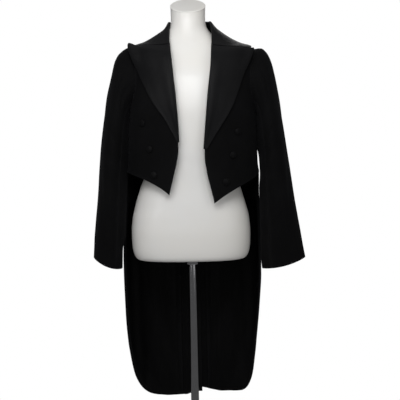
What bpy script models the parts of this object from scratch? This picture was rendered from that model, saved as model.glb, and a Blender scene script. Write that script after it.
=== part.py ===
"""A black evening tailcoat hanging open on a limbless white dress form with a chrome stand.

Sizes are in millimetres and MM turns them into Blender's metres. +Z is up, the front faces -Y, and the
origin is the middle of the stand's underside. Heights in the tables are counted from DATUM over the floor.
An angle runs round a section from the front (0) by the side (90) to the centre back (180). A side is -1 for
the wearer's right, at -X, and +1 for the wearer's left, at +X.
"""

import bisect
import functools
import math

import bmesh
import bpy
from mathutils import Matrix, Vector

MM = 0.001
DATUM = 780.0

CLOTH = 1.8  # wall of the coat's wool cloth
LEAF = 2.6  # wall of a lapel or collar leaf: cloth, canvas and silk together
LINING = 1.0
SEAM_GAP = 0.3
LAY_GAP = 1.0  # between a leaf or a lap and what it lies on

NECK_SEAM = 650.0
COLLAR_FOLD = 675.0
SIDE_SEAM = 88.0
SHOULDER_SEAM = 90.0
PLEAT = 161.0  # the front edge of the back strip, below the waist
PLEAT_LAP = 4.0  # how far the skirt's back edge lies under the strip
VENT_LAP = 8.0  # how far each back strip passes the centre

ARMHOLE_Y = 2.0
ARMHOLE_FOOT = 404.0
ARMHOLE_HALF_DEPTH = 73.0
ARMHOLE_HALF_HEIGHT = {-1: 92.0, 1: 88.5}
SHOULDER_DROP = {-1: 0.0, 1: 7.0}  # how much lower each shoulder's end lies
SIDEBODY_TOP = 486.0


class Table:
    """Rows of named columns, read between rows by a smooth curve that never overshoots."""

    def __init__(self, columns, *rows):
        self.keys = [row[0] for row in rows]
        self.values = dict(zip(columns.split(), zip(*rows)))
        self.slopes = {name: self.slopes_of(column) for name, column in self.values.items()}

    def slopes_of(self, column):
        steps = [b - a for a, b in zip(self.keys, self.keys[1:])]
        rises = [(b - a) / step for a, b, step in zip(column, column[1:], steps)]
        slopes = [rises[0]]
        for before, after in zip(rises, rises[1:]):
            slopes.append(2 * before * after / (before + after) if before * after > 0 else 0.0)
        return slopes + [rises[-1]]

    def at(self, key, name):
        key = min(max(key, self.keys[0]), self.keys[-1])
        i = min(bisect.bisect_right(self.keys, key), len(self.keys) - 1) - 1
        step = self.keys[i + 1] - self.keys[i]
        t = (key - self.keys[i]) / step
        low, high = self.values[name][i : i + 2]
        leave, arrive = (slope * step for slope in self.slopes[name][i : i + 2])
        return (
            low * (1 + 2 * t) * (1 - t) ** 2
            + high * t * t * (3 - 2 * t)
            + leave * t * (1 - t) ** 2
            - arrive * t * t * (1 - t)
        )


# The coat's outer face, as rings from the tails' hem to the collar's fold. From 500 up a ring dips at the
# front and at the back, as the shoulders do, and its height is only its label.
COAT = Table(
    "height side_z front_z back_z half_width front back centre_x power",
    (-400, -400, -400, -400, 183, 110, 139, 1.5, 2.2),
    (-300, -300, -300, -300, 187, 110, 139, 1, 2.2),
    (-150, -150, -150, -150, 192, 112, 138, 0.5, 2.3),
    (0, 0, 0, 0, 193, 116, 136, -0.5, 2.3),
    (120, 120, 120, 120, 189.5, 119, 129, 2, 2.3),
    (200, 200, 200, 200, 184, 121, 117, 4, 2.3),
    (240, 240, 240, 240, 183, 121, 111, 5, 2.3),
    (270, 270, 270, 270, 179, 122, 108, 5, 2.3),
    (340, 340, 340, 340, 176.5, 128, 111, 7, 2.3),
    (430, 430, 430, 430, 175, 134, 119, 9, 2.3),
    (500, 500, 500, 500, 175, 130, 123, 11, 2.2),
    (545, 556, 536, 542, 178, 120, 117, 12, 2.1),
    (570, 585, 555, 562, 170, 109, 107, 13, 2.1),
    (600, 600.5, 578, 587, 129.5, 90, 91, 11, 2.0),
    (630, 620, 602, 614, 92, 71, 74, 7, 2.0),
    (650, 637, 621, 636, 68, 59, 63, 6, 2.0),
    (675, 655, 644, 662, 55.4, 53, 57, 4, 2.0),
)

# The inner edge of each front: the roll line above, and the free edge from the break down to the point.
FRONT_EDGE = {
    -1: Table(
        "z x",
        (190, 57.5),
        (227, 48.5),
        (269, 38),
        (311, 31),
        (374, 33),
        (459, 39),
        (545, 47.5),
        (614, 53),
        (680, 54),
    ),
    1: Table(
        "z x",
        (172, 61),
        (205, 53.5),
        (248, 43.5),
        (290, 38),
        (374, 44),
        (459, 52),
        (545, 62),
        (614, 64.5),
        (680, 60),
    ),
}

# Each side's own heights: the coat hangs lower on the wearer's left.
SIDES = {
    -1: {
        "name": "right",
        "waist": 252.0,
        "back_waist": 240.0,
        "point_drop": 62.0,
        "hem_curve": 1.75,
        "hem": -397.0,
    },
    1: {
        "name": "left",
        "waist": 247.0,
        "back_waist": 238.0,
        "point_drop": 78.0,
        "hem_curve": 1.2,
        "hem": -386.0,
    },
}

# The lapel's outer edge from its foot to the peak's tip, seen from the front.
LAPEL_EDGE = {
    -1: Table(
        "z x",
        (330, 32),
        (361, 48),
        (391, 64),
        (428, 89),
        (453, 103),
        (480, 116),
        (506, 128),
        (532, 138),
        (586, 151),
    ),
    1: Table(
        "z x",
        (311, 43),
        (330, 55),
        (349, 67),
        (373, 82),
        (405, 102),
        (435, 117.5),
        (464, 128.5),
        (499, 140.5),
        (527, 152),
        (574, 168),
    ),
}
GORGE = 604.0  # the ring where the seam between lapel and collar starts on the roll line
COLLAR_CORNER = {-1: (140.0, 586.0), 1: (158.0, 575.0)}  # x and z where that seam ends
PEAK_LIFT = {-1: 15.0, 1: 8.0}  # how far the peak's tip stands off the shoulder
COLLAR_EDGE = Table("angle height", (70, 583), (90, 597), (100, 607), (112, 616), (125, 623), (180, 630))

BACK_SEAM = Table("height angle", (229, 161), (300, 160), (360, 155), (420, 145), (460, 136), (492, 126))

# How far the tail's front edge reaches, as a share of the ring's half width, against the height over the hem.
TAIL_EDGE = {
    -1: Table(
        "rise share",
        (0, 0.45),
        (4, 0.60),
        (15, 0.735),
        (36, 0.83),
        (58, 0.878),
        (80, 0.91),
        (130, 0.952),
        (177, 0.974),
        (260, 0.988),
        (640, 0.998),
    ),
    1: Table(
        "rise share",
        (0, 0.60),
        (4, 0.73),
        (14, 0.80),
        (30, 0.843),
        (52, 0.873),
        (80, 0.89),
        (121, 0.907),
        (168, 0.924),
        (214, 0.945),
        (283, 0.972),
        (351, 0.988),
        (640, 0.998),
    ),
}

# Sleeves: where each ring's outermost and innermost points lie, and its front and its back.
SLEEVES = {
    -1: Table(
        "ring outer_x outer_z inner_x inner_z front_y back_y",
        (0, 168, 588, 166, 404, -71, 75),
        (1, 181, 587, 168, 394, -76, 80),
        (2, 193, 576, 169.7, 382, -80, 83),
        (3, 203, 555, 170.7, 364, -81, 84),
        (4, 215, 503, 171.6, 337, -81, 84),
        (5, 228, 444, 173.7, 300, -80, 82),
        (6, 240, 360, 178.3, 246, -78, 76),
        (7, 250, 262, 183, 178, -76, 66),
        (8, 258, 160, 187.3, 98, -72, 54),
        (9, 265, 85, 190.3, 38, -69, 42),
        (10, 270, 20, 192, -12, -67, 32),
    ),
    1: Table(
        "ring outer_x outer_z inner_x inner_z front_y back_y",
        (0, 186, 581, 184, 404, -71, 75),
        (1, 202, 582, 185, 394, -76, 80),
        (2, 214.5, 571, 185.4, 382, -80, 83),
        (3, 223.5, 551, 185.4, 364, -81, 84),
        (4, 235, 503, 185.5, 337, -81, 84),
        (5, 247, 432, 186.5, 300, -80, 82),
        (6, 258, 350, 189.3, 246, -78, 74),
        (7, 272, 252, 190, 178, -74, 60),
        (8, 285, 152, 190.5, 98, -67, 42),
        (9, 297, 78, 191, 38, -60, 22),
        (10, 309, 11, 192, -18, -54, 6),
    ),
}
ARMHOLE_SHARE = Table("ring share", (0, 1.0), (1, 0.74), (2, 0.42), (3, 0.14), (4, 0.0))
CUFF = 10.0  # the last ring of a sleeve
FOREARM_SEAM = 128.0
HINDARM_SEAM = 248.0
SLEEVE_LIFT = 0.9  # the sleeve's head over the panels round the armhole

# The dress form, from its underside to the neck.
FORM = Table(
    "z half_width front back power",
    (8, 133, 78, 92, 2.4),
    (10.5, 145, 86, 101, 2.4),
    (19, 154, 92, 108, 2.4),
    (34, 159.5, 95, 113, 2.4),
    (57, 162.3, 97, 116, 2.4),
    (85, 163, 98, 117, 2.4),
    (119, 160.5, 97, 115, 2.4),
    (163, 150.5, 96, 108, 2.3),
    (207, 137, 95, 98, 2.3),
    (265, 119.5, 97, 84, 2.2),
    (310, 121, 104, 86, 2.2),
    (365, 130, 111, 93, 2.2),
    (415, 140, 115, 99, 2.2),
    (455, 147, 113, 103, 2.2),
    (500, 152, 104, 103, 2.3),
    (540, 152, 89, 96, 2.3),
    (570, 146, 76, 87, 2.2),
    (584, 129, 69, 79, 2.1),
    (596, 106, 62, 70, 2.0),
    (612, 78, 55, 61, 2.0),
    (630, 58, 50, 54, 2.0),
    (645, 49.2, 47.5, 51, 2.0),
    (662, 46.9, 45.5, 48.5, 2.0),
    (720, 48, 46, 49, 2.0),
)
NECK_TOP = 698.0
NECK_SLANT = math.radians(25)
CAP_HEIGHT = 4.0

ROD_RADIUS = 11.0
SOCKET_RADIUS = 19.0
SOCKET_DROP = 6.0  # how far the socket reaches below the tables' zero
FOOT_RADIUS = 165.0
FOOT_THICKNESS = 8.0
HUB_RADIUS = 24.0
HUB_HEIGHT = 16.0

# Covered buttons on the fronts, as x and z seen from the front.
FRONT_BUTTONS = {
    -1: ((125.5, 383.0), (107.5, 313.0), (97.5, 244.0)),
    1: ((127.0, 356.0), (113.0, 294.0), (93.5, 223.0)),
}
BUTTON = ((0, 0.4), (4, 0.4), (8.6, 1.7), (9, 2.6), (7.8, 3.9), (4.4, 4.7), (0, 5.0))


def smooth_step(low, high, value):
    """0 at low, 1 at high, a soft ramp between, and level beyond."""
    t = min(max((value - low) / (high - low), 0.0), 1.0)
    return t * t * (3 - 2 * t)


def between(low, high, share):
    return low + (high - low) * share


def stops(low, high, steps):
    """Even stops from low up to, but without, high."""
    return [between(low, high, i / steps) for i in range(steps)]


def crowded_stops(low, high, steps):
    """Stops that crowd towards both ends."""
    return [between(low, high, (1 - math.cos(math.pi * i / steps)) / 2) for i in range(steps)]


def root(function, low, high, halvings=24):
    """Where a rising function crosses zero."""
    for _ in range(halvings):
        middle = (low + high) / 2
        if function(middle) < 0:
            low = middle
        else:
            high = middle
    return (low + high) / 2


@functools.cache
def ring(height):
    """A ring's measures, kept so that each height is read once."""
    return {name: COAT.at(height, name) for name in COAT.values}


def coat_point(side, angle, height):
    """A point on the coat's outer face."""
    here = ring(round(height, 3))
    turn = math.radians(angle)
    sine, cosine = math.sin(turn), math.cos(turn)
    facing = "front" if angle < 90 else "back"
    power = here["power"]
    radius = ((sine / here["half_width"]) ** power + (abs(cosine) / here[facing]) ** power) ** (-1 / power)
    if height < 180 and angle > 90:
        swell = 9.0 * smooth_step(0, 560, 180 - height) * (1 - smooth_step(145, 165, angle))
        radius += swell * math.sin(math.radians(angle * 6.2 + 40 * side))
    lift = (here[facing + "_z"] - here["side_z"]) * cosine**2
    lift -= SHOULDER_DROP[side] * sine**2 * smooth_step(480, 565, height) * smooth_step(655, 600, height)
    above = max(height - COLLAR_FOLD, 0.0)
    return Vector(
        (here["centre_x"] + side * radius * sine, -radius * cosine, here["side_z"] + lift + above)
    )


def coat_normal(side, angle, height):
    """The coat's outward direction."""
    low, high = max(angle - 0.5, 0.0), min(angle + 0.5, 180.0)
    across = coat_point(side, high, height) - coat_point(side, low, height)
    top = min(height + 1.5, COLLAR_FOLD)
    upwards = coat_point(side, angle, top) - coat_point(side, angle, top - 3.0)
    return across.cross(upwards).normalized() * side


def coat_offset(side, angle, height, offset):
    """A point moved out from the coat's face by offset, or in where it is negative."""
    if angle > 180:
        side, angle = -side, 360 - angle
    return coat_point(side, angle, height) + coat_normal(side, angle, height) * offset


@functools.cache
def front_edge_angle(side, height):
    """Where a ring meets the inner edge of the front."""

    def beyond(angle):
        point = coat_point(side, angle, height)
        return side * point.x - FRONT_EDGE[side].at(point.z, "x")

    return root(beyond, 2.0, 89.0)


def angle_at_x(side, height, x):
    """The front angle where a ring reaches x, counted outwards from the form's axis."""
    return root(lambda angle: side * coat_point(side, angle, height).x - x, 2.0, 89.9)


@functools.cache
def place_seen(side, x, z):
    """The angle and ring of the point that the front view shows at x and z."""

    def over(height):
        return coat_point(side, angle_at_x(side, height, x), height).z - z

    height = root(over, 150.0, COLLAR_FOLD, halvings=20)
    return angle_at_x(side, height, x), height


@functools.cache
def armhole_angle(side, height, far):
    """Where a ring meets the armhole's edge, looking from far, an angle in front of it or behind it."""

    def inside(share):
        point = coat_point(side, between(far, 90, share), height)
        across = (point.y - ARMHOLE_Y) / (ARMHOLE_HALF_DEPTH + SEAM_GAP)
        half_height = ARMHOLE_HALF_HEIGHT[side]
        upwards = (point.z - ARMHOLE_FOOT - half_height) / (half_height + SEAM_GAP)
        return 1 - across**2 - upwards**2

    return between(far, 90, root(inside, 0.0, 1.0))


ARMHOLE_LOW = ARMHOLE_FOOT - SEAM_GAP
ARMHOLE_TOP = ARMHOLE_FOOT + 2 * ARMHOLE_HALF_HEIGHT[-1] + SEAM_GAP
ARMHOLE_HIGH = root(lambda height: COAT.at(height, "side_z") - ARMHOLE_TOP, 500, 640)

# Rows that the panels above the waist share, so that their seams meet point for point. The first stretch
# holds shares of the way from the waist seam to the armhole, and the other two hold ring heights.
WAIST_ROWS = 7
LOW_ARMHOLE_ROWS = crowded_stops(ARMHOLE_LOW, 2 * SIDEBODY_TOP - ARMHOLE_LOW, 10)[:6]
BODY_ROWS = (
    stops(0.0, 1.0, WAIST_ROWS)
    + LOW_ARMHOLE_ROWS
    + [between(SIDEBODY_TOP, ARMHOLE_HIGH, math.sin(math.pi / 12 * i)) for i in range(1, 6)]
    + stops(ARMHOLE_HIGH, NECK_SEAM, 5)
    + [NECK_SEAM]
)
SIDEBODY_ROWS = WAIST_ROWS + len(LOW_ARMHOLE_ROWS) - 1


def waist_at(side, angle):
    """The waist seam's height, which slopes from the side to the back."""
    own = SIDES[side]
    return between(own["waist"], own["back_waist"], smooth_step(SIDE_SEAM, PLEAT, angle))


def body_height(side, row, angle):
    return between(waist_at(side, angle), ARMHOLE_LOW, BODY_ROWS[row]) if row < WAIST_ROWS else BODY_ROWS[row]


def seam_gap(side, angle, height):
    """Half of a seam's gap, as an angle on the ring there."""
    spoke = coat_point(side, angle, height) - Vector((COAT.at(height, "centre_x"), 0, 0))
    return math.degrees(SEAM_GAP / 2 / math.hypot(spoke.x, spoke.y))


def side_edge(side, row, height, seam, far):
    """A panel's edge on the side seam, then round the armhole, then on the shoulder seam."""
    if row > WAIST_ROWS and height < ARMHOLE_HIGH - 0.01:
        return armhole_angle(side, height, far)
    away = 1 if far > 90 else -1
    seam = seam if row <= WAIST_ROWS else SHOULDER_SEAM
    return seam + away * seam_gap(side, seam, height)


def material(name, colour, roughness, metallic=0.0):
    made = bpy.data.materials.new(name)
    made.use_nodes = True
    shader = made.node_tree.nodes["Principled BSDF"]
    shader.inputs["Base Color"].default_value = (*colour, 1.0)
    shader.inputs["Roughness"].default_value = roughness
    shader.inputs["Metallic"].default_value = metallic
    made.diffuse_color = (*colour, 1.0)
    return made


def to_object(mesh, name, finish, smooth_angle=50):
    """Puts a bmesh, in millimetres from the form's underside, into the scene in metres."""
    for vert in mesh.verts:
        vert.co = (vert.co + Vector((0, 0, DATUM))) * MM
    bmesh.ops.recalc_face_normals(mesh, faces=mesh.faces)
    if mesh.calc_volume(signed=True) < 0:
        bmesh.ops.reverse_faces(mesh, faces=mesh.faces)
    data = bpy.data.meshes.new(name)
    mesh.to_mesh(data)
    mesh.free()
    data.materials.append(finish)
    data.shade_smooth()
    data.set_sharp_from_angle(angle=math.radians(smooth_angle))
    made = bpy.data.objects.new(name, data)
    PIECES.objects.link(made)
    return made


def wall(name, surface, columns, rows, finish):
    """A panel: a grid laid by surface(column, row, depth), 0 for its outer face and 1 for its inner one."""
    mesh = bmesh.new()
    bmesh.ops.create_grid(mesh, x_segments=columns, y_segments=rows, size=0.5)
    outside = mesh.verts[:]
    made = bmesh.ops.extrude_face_region(mesh, geom=mesh.faces[:], use_keep_orig=True)
    inside = [item for item in made["geom"] if isinstance(item, bmesh.types.BMVert)]
    for depth, verts in enumerate((outside, inside)):
        for vert in verts:
            vert.co = surface(round((vert.co.x + 0.5) * columns), round((vert.co.y + 0.5) * rows), depth)
    return to_object(mesh, name, finish)


def build_forepart(side):
    columns = 11

    def surface(column, row, depth):
        share = column / columns
        height = body_height(side, row, SIDE_SEAM)
        outer = side_edge(side, row, height, SIDE_SEAM, far=8.0)
        drop = SIDES[side]["point_drop"] * (1 - share) ** SIDES[side]["hem_curve"]
        height -= drop * (1 - smooth_step(SIDES[side]["waist"], ARMHOLE_LOW, height))
        inner = front_edge_angle(side, height)
        return coat_offset(side, between(inner, outer, share), height, -depth * CLOTH)

    wall(f"forepart_{SIDES[side]['name']}", surface, columns, len(BODY_ROWS) - 1, CLOTH_FINISH)


def back_seam(side, height, away):
    """An edge on the curved seam of the back, which ends at the armhole."""
    last = armhole_angle(side, SIDEBODY_TOP, 172.0) + 0.8
    seam = BACK_SEAM.at(height, "angle")
    seam += (last - BACK_SEAM.at(SIDEBODY_TOP, "angle")) * smooth_step(400, SIDEBODY_TOP, height)
    return seam + away * seam_gap(side, seam, height)


def build_sidebody(side):
    columns = 6

    def surface(column, row, depth):
        front_height = body_height(side, row, SIDE_SEAM)
        back_height = body_height(side, row, PLEAT)
        inner = side_edge(side, row, front_height, SIDE_SEAM, far=172.0)
        outer = back_seam(side, back_height, -1)
        angle = between(inner, outer, column / columns)
        height = between(front_height, back_height, smooth_step(SIDE_SEAM, PLEAT, angle))
        return coat_offset(side, angle, height, -depth * CLOTH)

    wall(f"sidebody_{SIDES[side]['name']}", surface, columns, SIDEBODY_ROWS, CLOTH_FINISH)


def tail_heights(side, top):
    """The rows of a tail, from its hem to top."""
    hem = SIDES[side]["hem"]
    return [hem, hem + 4, hem + 15, hem + 38] + stops(hem + 73, top, 7) + [top]


def hem_drop(side, angle):
    """The hem rises towards the vent."""
    return 9 * smooth_step(168, 182, angle) if side < 0 else 10 * smooth_step(150, 176, angle)


def build_back(side):
    """The back runs from the neck to the hem, and below the waist it laps over the skirt and its fellow."""
    columns = 7
    waist = SIDES[side]["back_waist"]
    tail = tail_heights(side, waist - 18) + [waist - 12]

    def surface(column, row, depth):
        share = column / columns
        if row < len(tail):
            height = tail[row]
            lap = VENT_LAP if row < len(tail) - 1 else -seam_gap(side, 180, height)
            angle = between(PLEAT, 180 + lap, share)
            under = (CLOTH + LAY_GAP) * smooth_step(PLEAT + PLEAT_LAP, PLEAT + 8, angle) if side < 0 else 0.0
            if row == 0:
                height += hem_drop(side, angle)
            return coat_offset(side, angle, height, -under - depth * CLOTH)
        row -= len(tail)
        height = body_height(side, row, 180)
        if row <= SIDEBODY_ROWS:
            outer = back_seam(side, height, 1)
        else:
            outer = side_edge(side, row, height, SHOULDER_SEAM, far=172.0)
        centre = 180 - seam_gap(side, 180, height)
        return coat_offset(side, between(outer, centre, share), height, -depth * CLOTH)

    wall(f"back_{SIDES[side]['name']}", surface, columns, len(tail) + len(BODY_ROWS) - 1, CLOTH_FINISH)


def build_skirt(side):
    """A tail's outer panel, its back edge under the back strip, and the satin inside it."""
    columns = 12
    name = SIDES[side]["name"]
    heights = tail_heights(side, SIDES[side]["waist"])

    def place(share, row, offset):
        height = heights[row]
        edge_x = TAIL_EDGE[side].at(height - heights[0], "share") * COAT.at(height, "half_width")
        centre = COAT.at(height, "centre_x")
        front = root(
            lambda angle: edge_x - side * (coat_point(side, angle, height).x - centre), 90.0, 178.0
        )
        angle = between(max(front, SIDE_SEAM), PLEAT + PLEAT_LAP, share)
        under = (CLOTH + LAY_GAP) * smooth_step(PLEAT - 6, PLEAT - 1, angle)
        if row == 0:
            height += hem_drop(side, angle)
        seam_slope = waist_at(side, angle) - SIDES[side]["waist"]
        height += seam_slope * smooth_step(0, heights[-1], height) - SEAM_GAP * (row == len(heights) - 1)
        return coat_offset(side, angle, height, offset - under)

    def cloth(column, row, depth):
        return place(column / columns, row, -depth * CLOTH)

    def satin(column, row, depth):
        return place((column + 1) / columns, row + 1, -CLOTH - SEAM_GAP - depth * LINING)

    wall(f"skirt_{name}", cloth, columns, len(heights) - 1, CLOTH_FINISH)
    wall(f"tail_lining_{name}", satin, columns - 2, len(heights) - 3, LINING_FINISH)


# A leaf's section across its fold: how far each point lies from the fold, and its height over the panel.
LEAF_SECTION = (
    {"outer": (-3.1, -2.0), "inner": (-0.9, -2.0)},
    {"outer": (-3.5, 0.4), "inner": (-0.9, -0.2)},
    {"outer": (-2.4, 2.9), "inner": (-0.6, 0.9)},
    {"outer": (0.6, LAY_GAP + LEAF + 0.3), "inner": (0.6, LAY_GAP + 0.3)},
)


def leaf(name, rows, place, shares, lift, finish):
    """A leaf turned over where place(row, 0) is and lying on the coat out to place(row, 1)."""
    turned = len(LEAF_SECTION)

    def surface(column, row, depth):
        side, angle, height = place(row, 0.0)
        if column < turned:
            base = coat_point(side, angle, height)
            out = coat_normal(side, angle, height)
            ahead = coat_point(*place(row, 0.05)) - base
            along = (ahead - out * ahead.dot(out)).normalized()
            away, over = LEAF_SECTION[column]["inner" if depth else "outer"]
            return base + along * away + out * over
        share = shares[column - turned]
        return coat_offset(*place(row, share), LAY_GAP + (1 - depth) * LEAF + lift(row, share))

    wall(name, surface, turned + len(shares) - 1, rows, finish)


def collar_corner(side):
    return place_seen(side, *COLLAR_CORNER[side])


def build_lapel(side):
    rows = 16
    foot, tip = LAPEL_EDGE[side].keys[0], LAPEL_EDGE[side].keys[-1]
    gorge = front_edge_angle(side, GORGE), GORGE
    corner = collar_corner(side)
    peak = place_seen(side, LAPEL_EDGE[side].at(tip, "x"), tip)
    corner_share = 0.86

    def place(row, share):
        """Straight rows, but for the top ones, which bend to run along the gorge and then up the peak."""
        height = between(foot, GORGE, row / rows)
        z = between(foot, tip, row / rows)
        start = front_edge_angle(side, height), height
        end = place_seen(side, LAPEL_EDGE[side].at(z, "x"), z)
        bend = (row / rows) ** 5 * min(share / corner_share, (1 - share) / (1 - corner_share))
        dip = [corner[i] - between(gorge[i], peak[i], corner_share) for i in range(2)]
        return side, *(between(start[i], end[i], share) + bend * dip[i] for i in range(2))

    def lift(row, share):
        at_peak = smooth_step(0.76, 1.0, share) * smooth_step(0.72, 1.0, row / rows)
        return 0.4 + 1.2 * share + PEAK_LIFT[side] * at_peak

    shares = [corner_share * part for part in (0.13, 0.3, 0.47, 0.64, 0.82, 1)] + [0.93, 1]
    leaf(f"lapel_facing_{SIDES[side]['name']}", rows, place, shares, lift, SILK_FINISH)


def build_collar():
    """The collar's leaf, from one gorge round the neck to the other, and the stand that carries it."""
    front_rows, back_rows = 8, 9
    rows = 2 * (front_rows + back_rows)
    above = 1.2  # ring heights between the lapel and the collar at the gorge

    def place(row, share):
        side = -1 if row <= rows // 2 else 1
        step = min(row, rows - row)
        gorge = front_edge_angle(side, GORGE), GORGE
        corner = collar_corner(side)
        if step <= front_rows:
            height = between(GORGE + 2 * above, COLLAR_FOLD, step / front_rows)
            start = front_edge_angle(side, height), height
            along = between(0.08, 1.0, step / front_rows)
            end = between(gorge[0], corner[0], along), between(gorge[1], corner[1], along) + above
        else:
            along = (step - front_rows) / back_rows
            start = between(front_edge_angle(side, COLLAR_FOLD), 180, along), COLLAR_FOLD
            angle = between(corner[0], 180, along)
            free = smooth_step(0, 2, step - front_rows)
            end = angle, between(corner[1] + above, COLLAR_EDGE.at(angle, "height"), free)
        return side, between(start[0], end[0], share), between(start[1], end[1], share)

    shares = [0.1, 0.28, 0.46, 0.62, 0.76, 0.88, 0.95, 1]
    leaf("collar_leaf", rows, place, shares, lambda row, share: 0.5 + 1.1 * share, SILK_FINISH)

    columns = 22

    def stand(column, row, depth):
        height = between(NECK_SEAM + SEAM_GAP, COLLAR_FOLD - 0.6, row / 3)
        share = abs(2 * column / columns - 1)
        side = -1 if column <= columns // 2 else 1
        front = front_edge_angle(side, height) + 3.0
        return coat_offset(side, between(180, front, share), height, -depth * CLOTH)

    wall("collar_stand", stand, columns, 3, CLOTH_FINISH)


def sleeve_face(side, angle, place):
    """A point on a sleeve's outer face. Its angle runs from the outermost (0) by the front to the underarm."""
    row = {name: SLEEVES[side].at(place, name) for name in SLEEVES[side].values}
    turn = math.radians(angle)
    outer = Vector((row["outer_x"], 0, row["outer_z"]))
    inner = Vector((row["inner_x"], 0, row["inner_z"]))
    point = (outer + inner) / 2 + (outer - inner) / 2 * math.cos(turn)
    point.y = (row["front_y"] + row["back_y"]) / 2 - (row["back_y"] - row["front_y"]) / 2 * math.sin(turn)
    if place < 4:
        outer_x, inner_x = (SLEEVES[side].at(0, name) for name in ("outer_x", "inner_x"))
        straight = between(inner_x, outer_x, (1 + math.cos(turn)) / 2)
        point.x += ARMHOLE_SHARE.at(place, "share") * (armhole_x(side, round(angle, 3)) - straight)
    point.x *= side
    return point


def sleeve_point(side, angle, place, inset):
    """A point moved in from the sleeve's outer face by inset."""
    across = sleeve_face(side, angle + 2, place) - sleeve_face(side, angle - 2, place)
    along = sleeve_face(side, angle, min(place + 0.1, CUFF)) - sleeve_face(side, angle, max(place - 0.1, 0.0))
    return sleeve_face(side, angle, place) + along.cross(across).normalized() * side * inset


@functools.cache
def armhole_x(side, angle):
    """How far out the coat's face lies at a point of the armhole's edge."""
    turn = math.radians(angle)
    y = ARMHOLE_Y - math.sin(turn) * ARMHOLE_HALF_DEPTH
    z = ARMHOLE_FOOT + (1 + math.cos(turn)) * ARMHOLE_HALF_HEIGHT[side]

    def angle_on(height):
        return root(lambda place: coat_point(side, place, height).y - y, 20.0, 160.0)

    height = root(lambda h: coat_point(side, angle_on(h), h).z - z, 380.0, 640.0, halvings=20)
    return side * coat_offset(side, angle_on(height), height, SLEEVE_LIFT).x


def build_sleeve(side):
    rows = 16

    def half(name, first, last, columns):
        first, last = first + 0.12, last - 0.12

        def surface(column, row, depth):
            place = CUFF * (row / rows) ** 1.25
            return sleeve_point(side, between(first, last, column / columns), place, depth * CLOTH)

        wall(f"{name}_{SIDES[side]['name']}", surface, columns, rows, CLOTH_FINISH)

    half("topsleeve", HINDARM_SEAM - 360, FOREARM_SEAM, 16)
    half("undersleeve", FOREARM_SEAM, HINDARM_SEAM, 8)


def lathe(mesh, profile, segments, place=Matrix()):
    """Turns (radius, height) points round the vertical, first and last of them on the axis."""
    start = len(mesh.verts)
    verts = [mesh.verts.new((radius, 0, height)) for radius, height in profile]
    edges = [mesh.edges.new(pair) for pair in zip(verts, verts[1:])]
    bmesh.ops.spin(
        mesh, geom=verts + edges, cent=(0, 0, 0), axis=(0, 0, 1), angle=2 * math.pi, steps=segments,
        use_merge=True,
    )
    mesh.verts.ensure_lookup_table()
    turned = mesh.verts[start:]
    bmesh.ops.remove_doubles(mesh, verts=turned, dist=0.001)
    mesh.verts.ensure_lookup_table()
    for vert in mesh.verts[start:]:
        vert.co = place @ vert.co


def build_buttons():
    for side, places in FRONT_BUTTONS.items():
        for number, (x, z) in enumerate(places, 1):
            angle, height = place_seen(side, x, z)
            out = coat_normal(side, angle, height)
            turn = Vector((0, 0, 1)).rotation_difference(out).to_matrix().to_4x4()
            mesh = bmesh.new()
            lathe(mesh, BUTTON, 11, Matrix.Translation(coat_point(side, angle, height)) @ turn)
            to_object(mesh, f"front_button_{SIDES[side]['name']}_{number}", SILK_FINISH, smooth_angle=70)


def form_ring(mesh, z, segments, slant=0.0, grow=0.0):
    row = {name: FORM.at(z, name) for name in FORM.values}
    verts = []
    for i in range(segments):
        turn = 2 * math.pi * i / segments
        sine, cosine = math.sin(turn), math.cos(turn)
        depth = row["front"] if cosine > 0 else row["back"]
        radius = (abs(sine / row["half_width"]) ** row["power"] + abs(cosine / depth) ** row["power"]) ** (
            -1 / row["power"]
        ) + grow
        y = -radius * cosine
        verts.append(mesh.verts.new((radius * sine, y, z + y * math.tan(slant))))
    return verts


def bridge(mesh, *loops):
    """Faces between two closed loops of points."""
    pairs = [pair for loop in loops for pair in zip(loop, loop[1:] + loop[:1])]
    edges = [mesh.edges.get(pair) or mesh.edges.new(pair) for pair in pairs]
    bmesh.ops.bridge_loops(mesh, edges=edges)


def build_form():
    """The torso, closed at its underside and at its slanted neck, and the cap on the neck."""
    segments = 28
    mesh = bmesh.new()
    heights = [z for z in FORM.keys if z < NECK_TOP]
    rings = [form_ring(mesh, z, segments) for z in heights]
    rings.append(form_ring(mesh, NECK_TOP, segments, NECK_SLANT))
    for low, high in zip(rings, rings[1:]):
        bridge(mesh, low, high)
    mesh.faces.new(rings[0])
    mesh.faces.new(rings[-1])
    to_object(mesh, "form_torso", FORM_FINISH)

    mesh = bmesh.new()
    loops = [
        form_ring(mesh, NECK_TOP, segments, NECK_SLANT, grow)
        for grow in (0.4, 0.8, 0.4, -6.0)
    ]
    for rise, loop in zip((SEAM_GAP, 1.2, CAP_HEIGHT - 1, CAP_HEIGHT), loops):
        for vert in loop:
            vert.co.z += rise
    for low, high in zip(loops, loops[1:]):
        bridge(mesh, low, high)
    mesh.faces.new(loops[0])
    mesh.faces.new(loops[-1])
    to_object(mesh, "form_neck_cap", FORM_FINISH)


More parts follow.
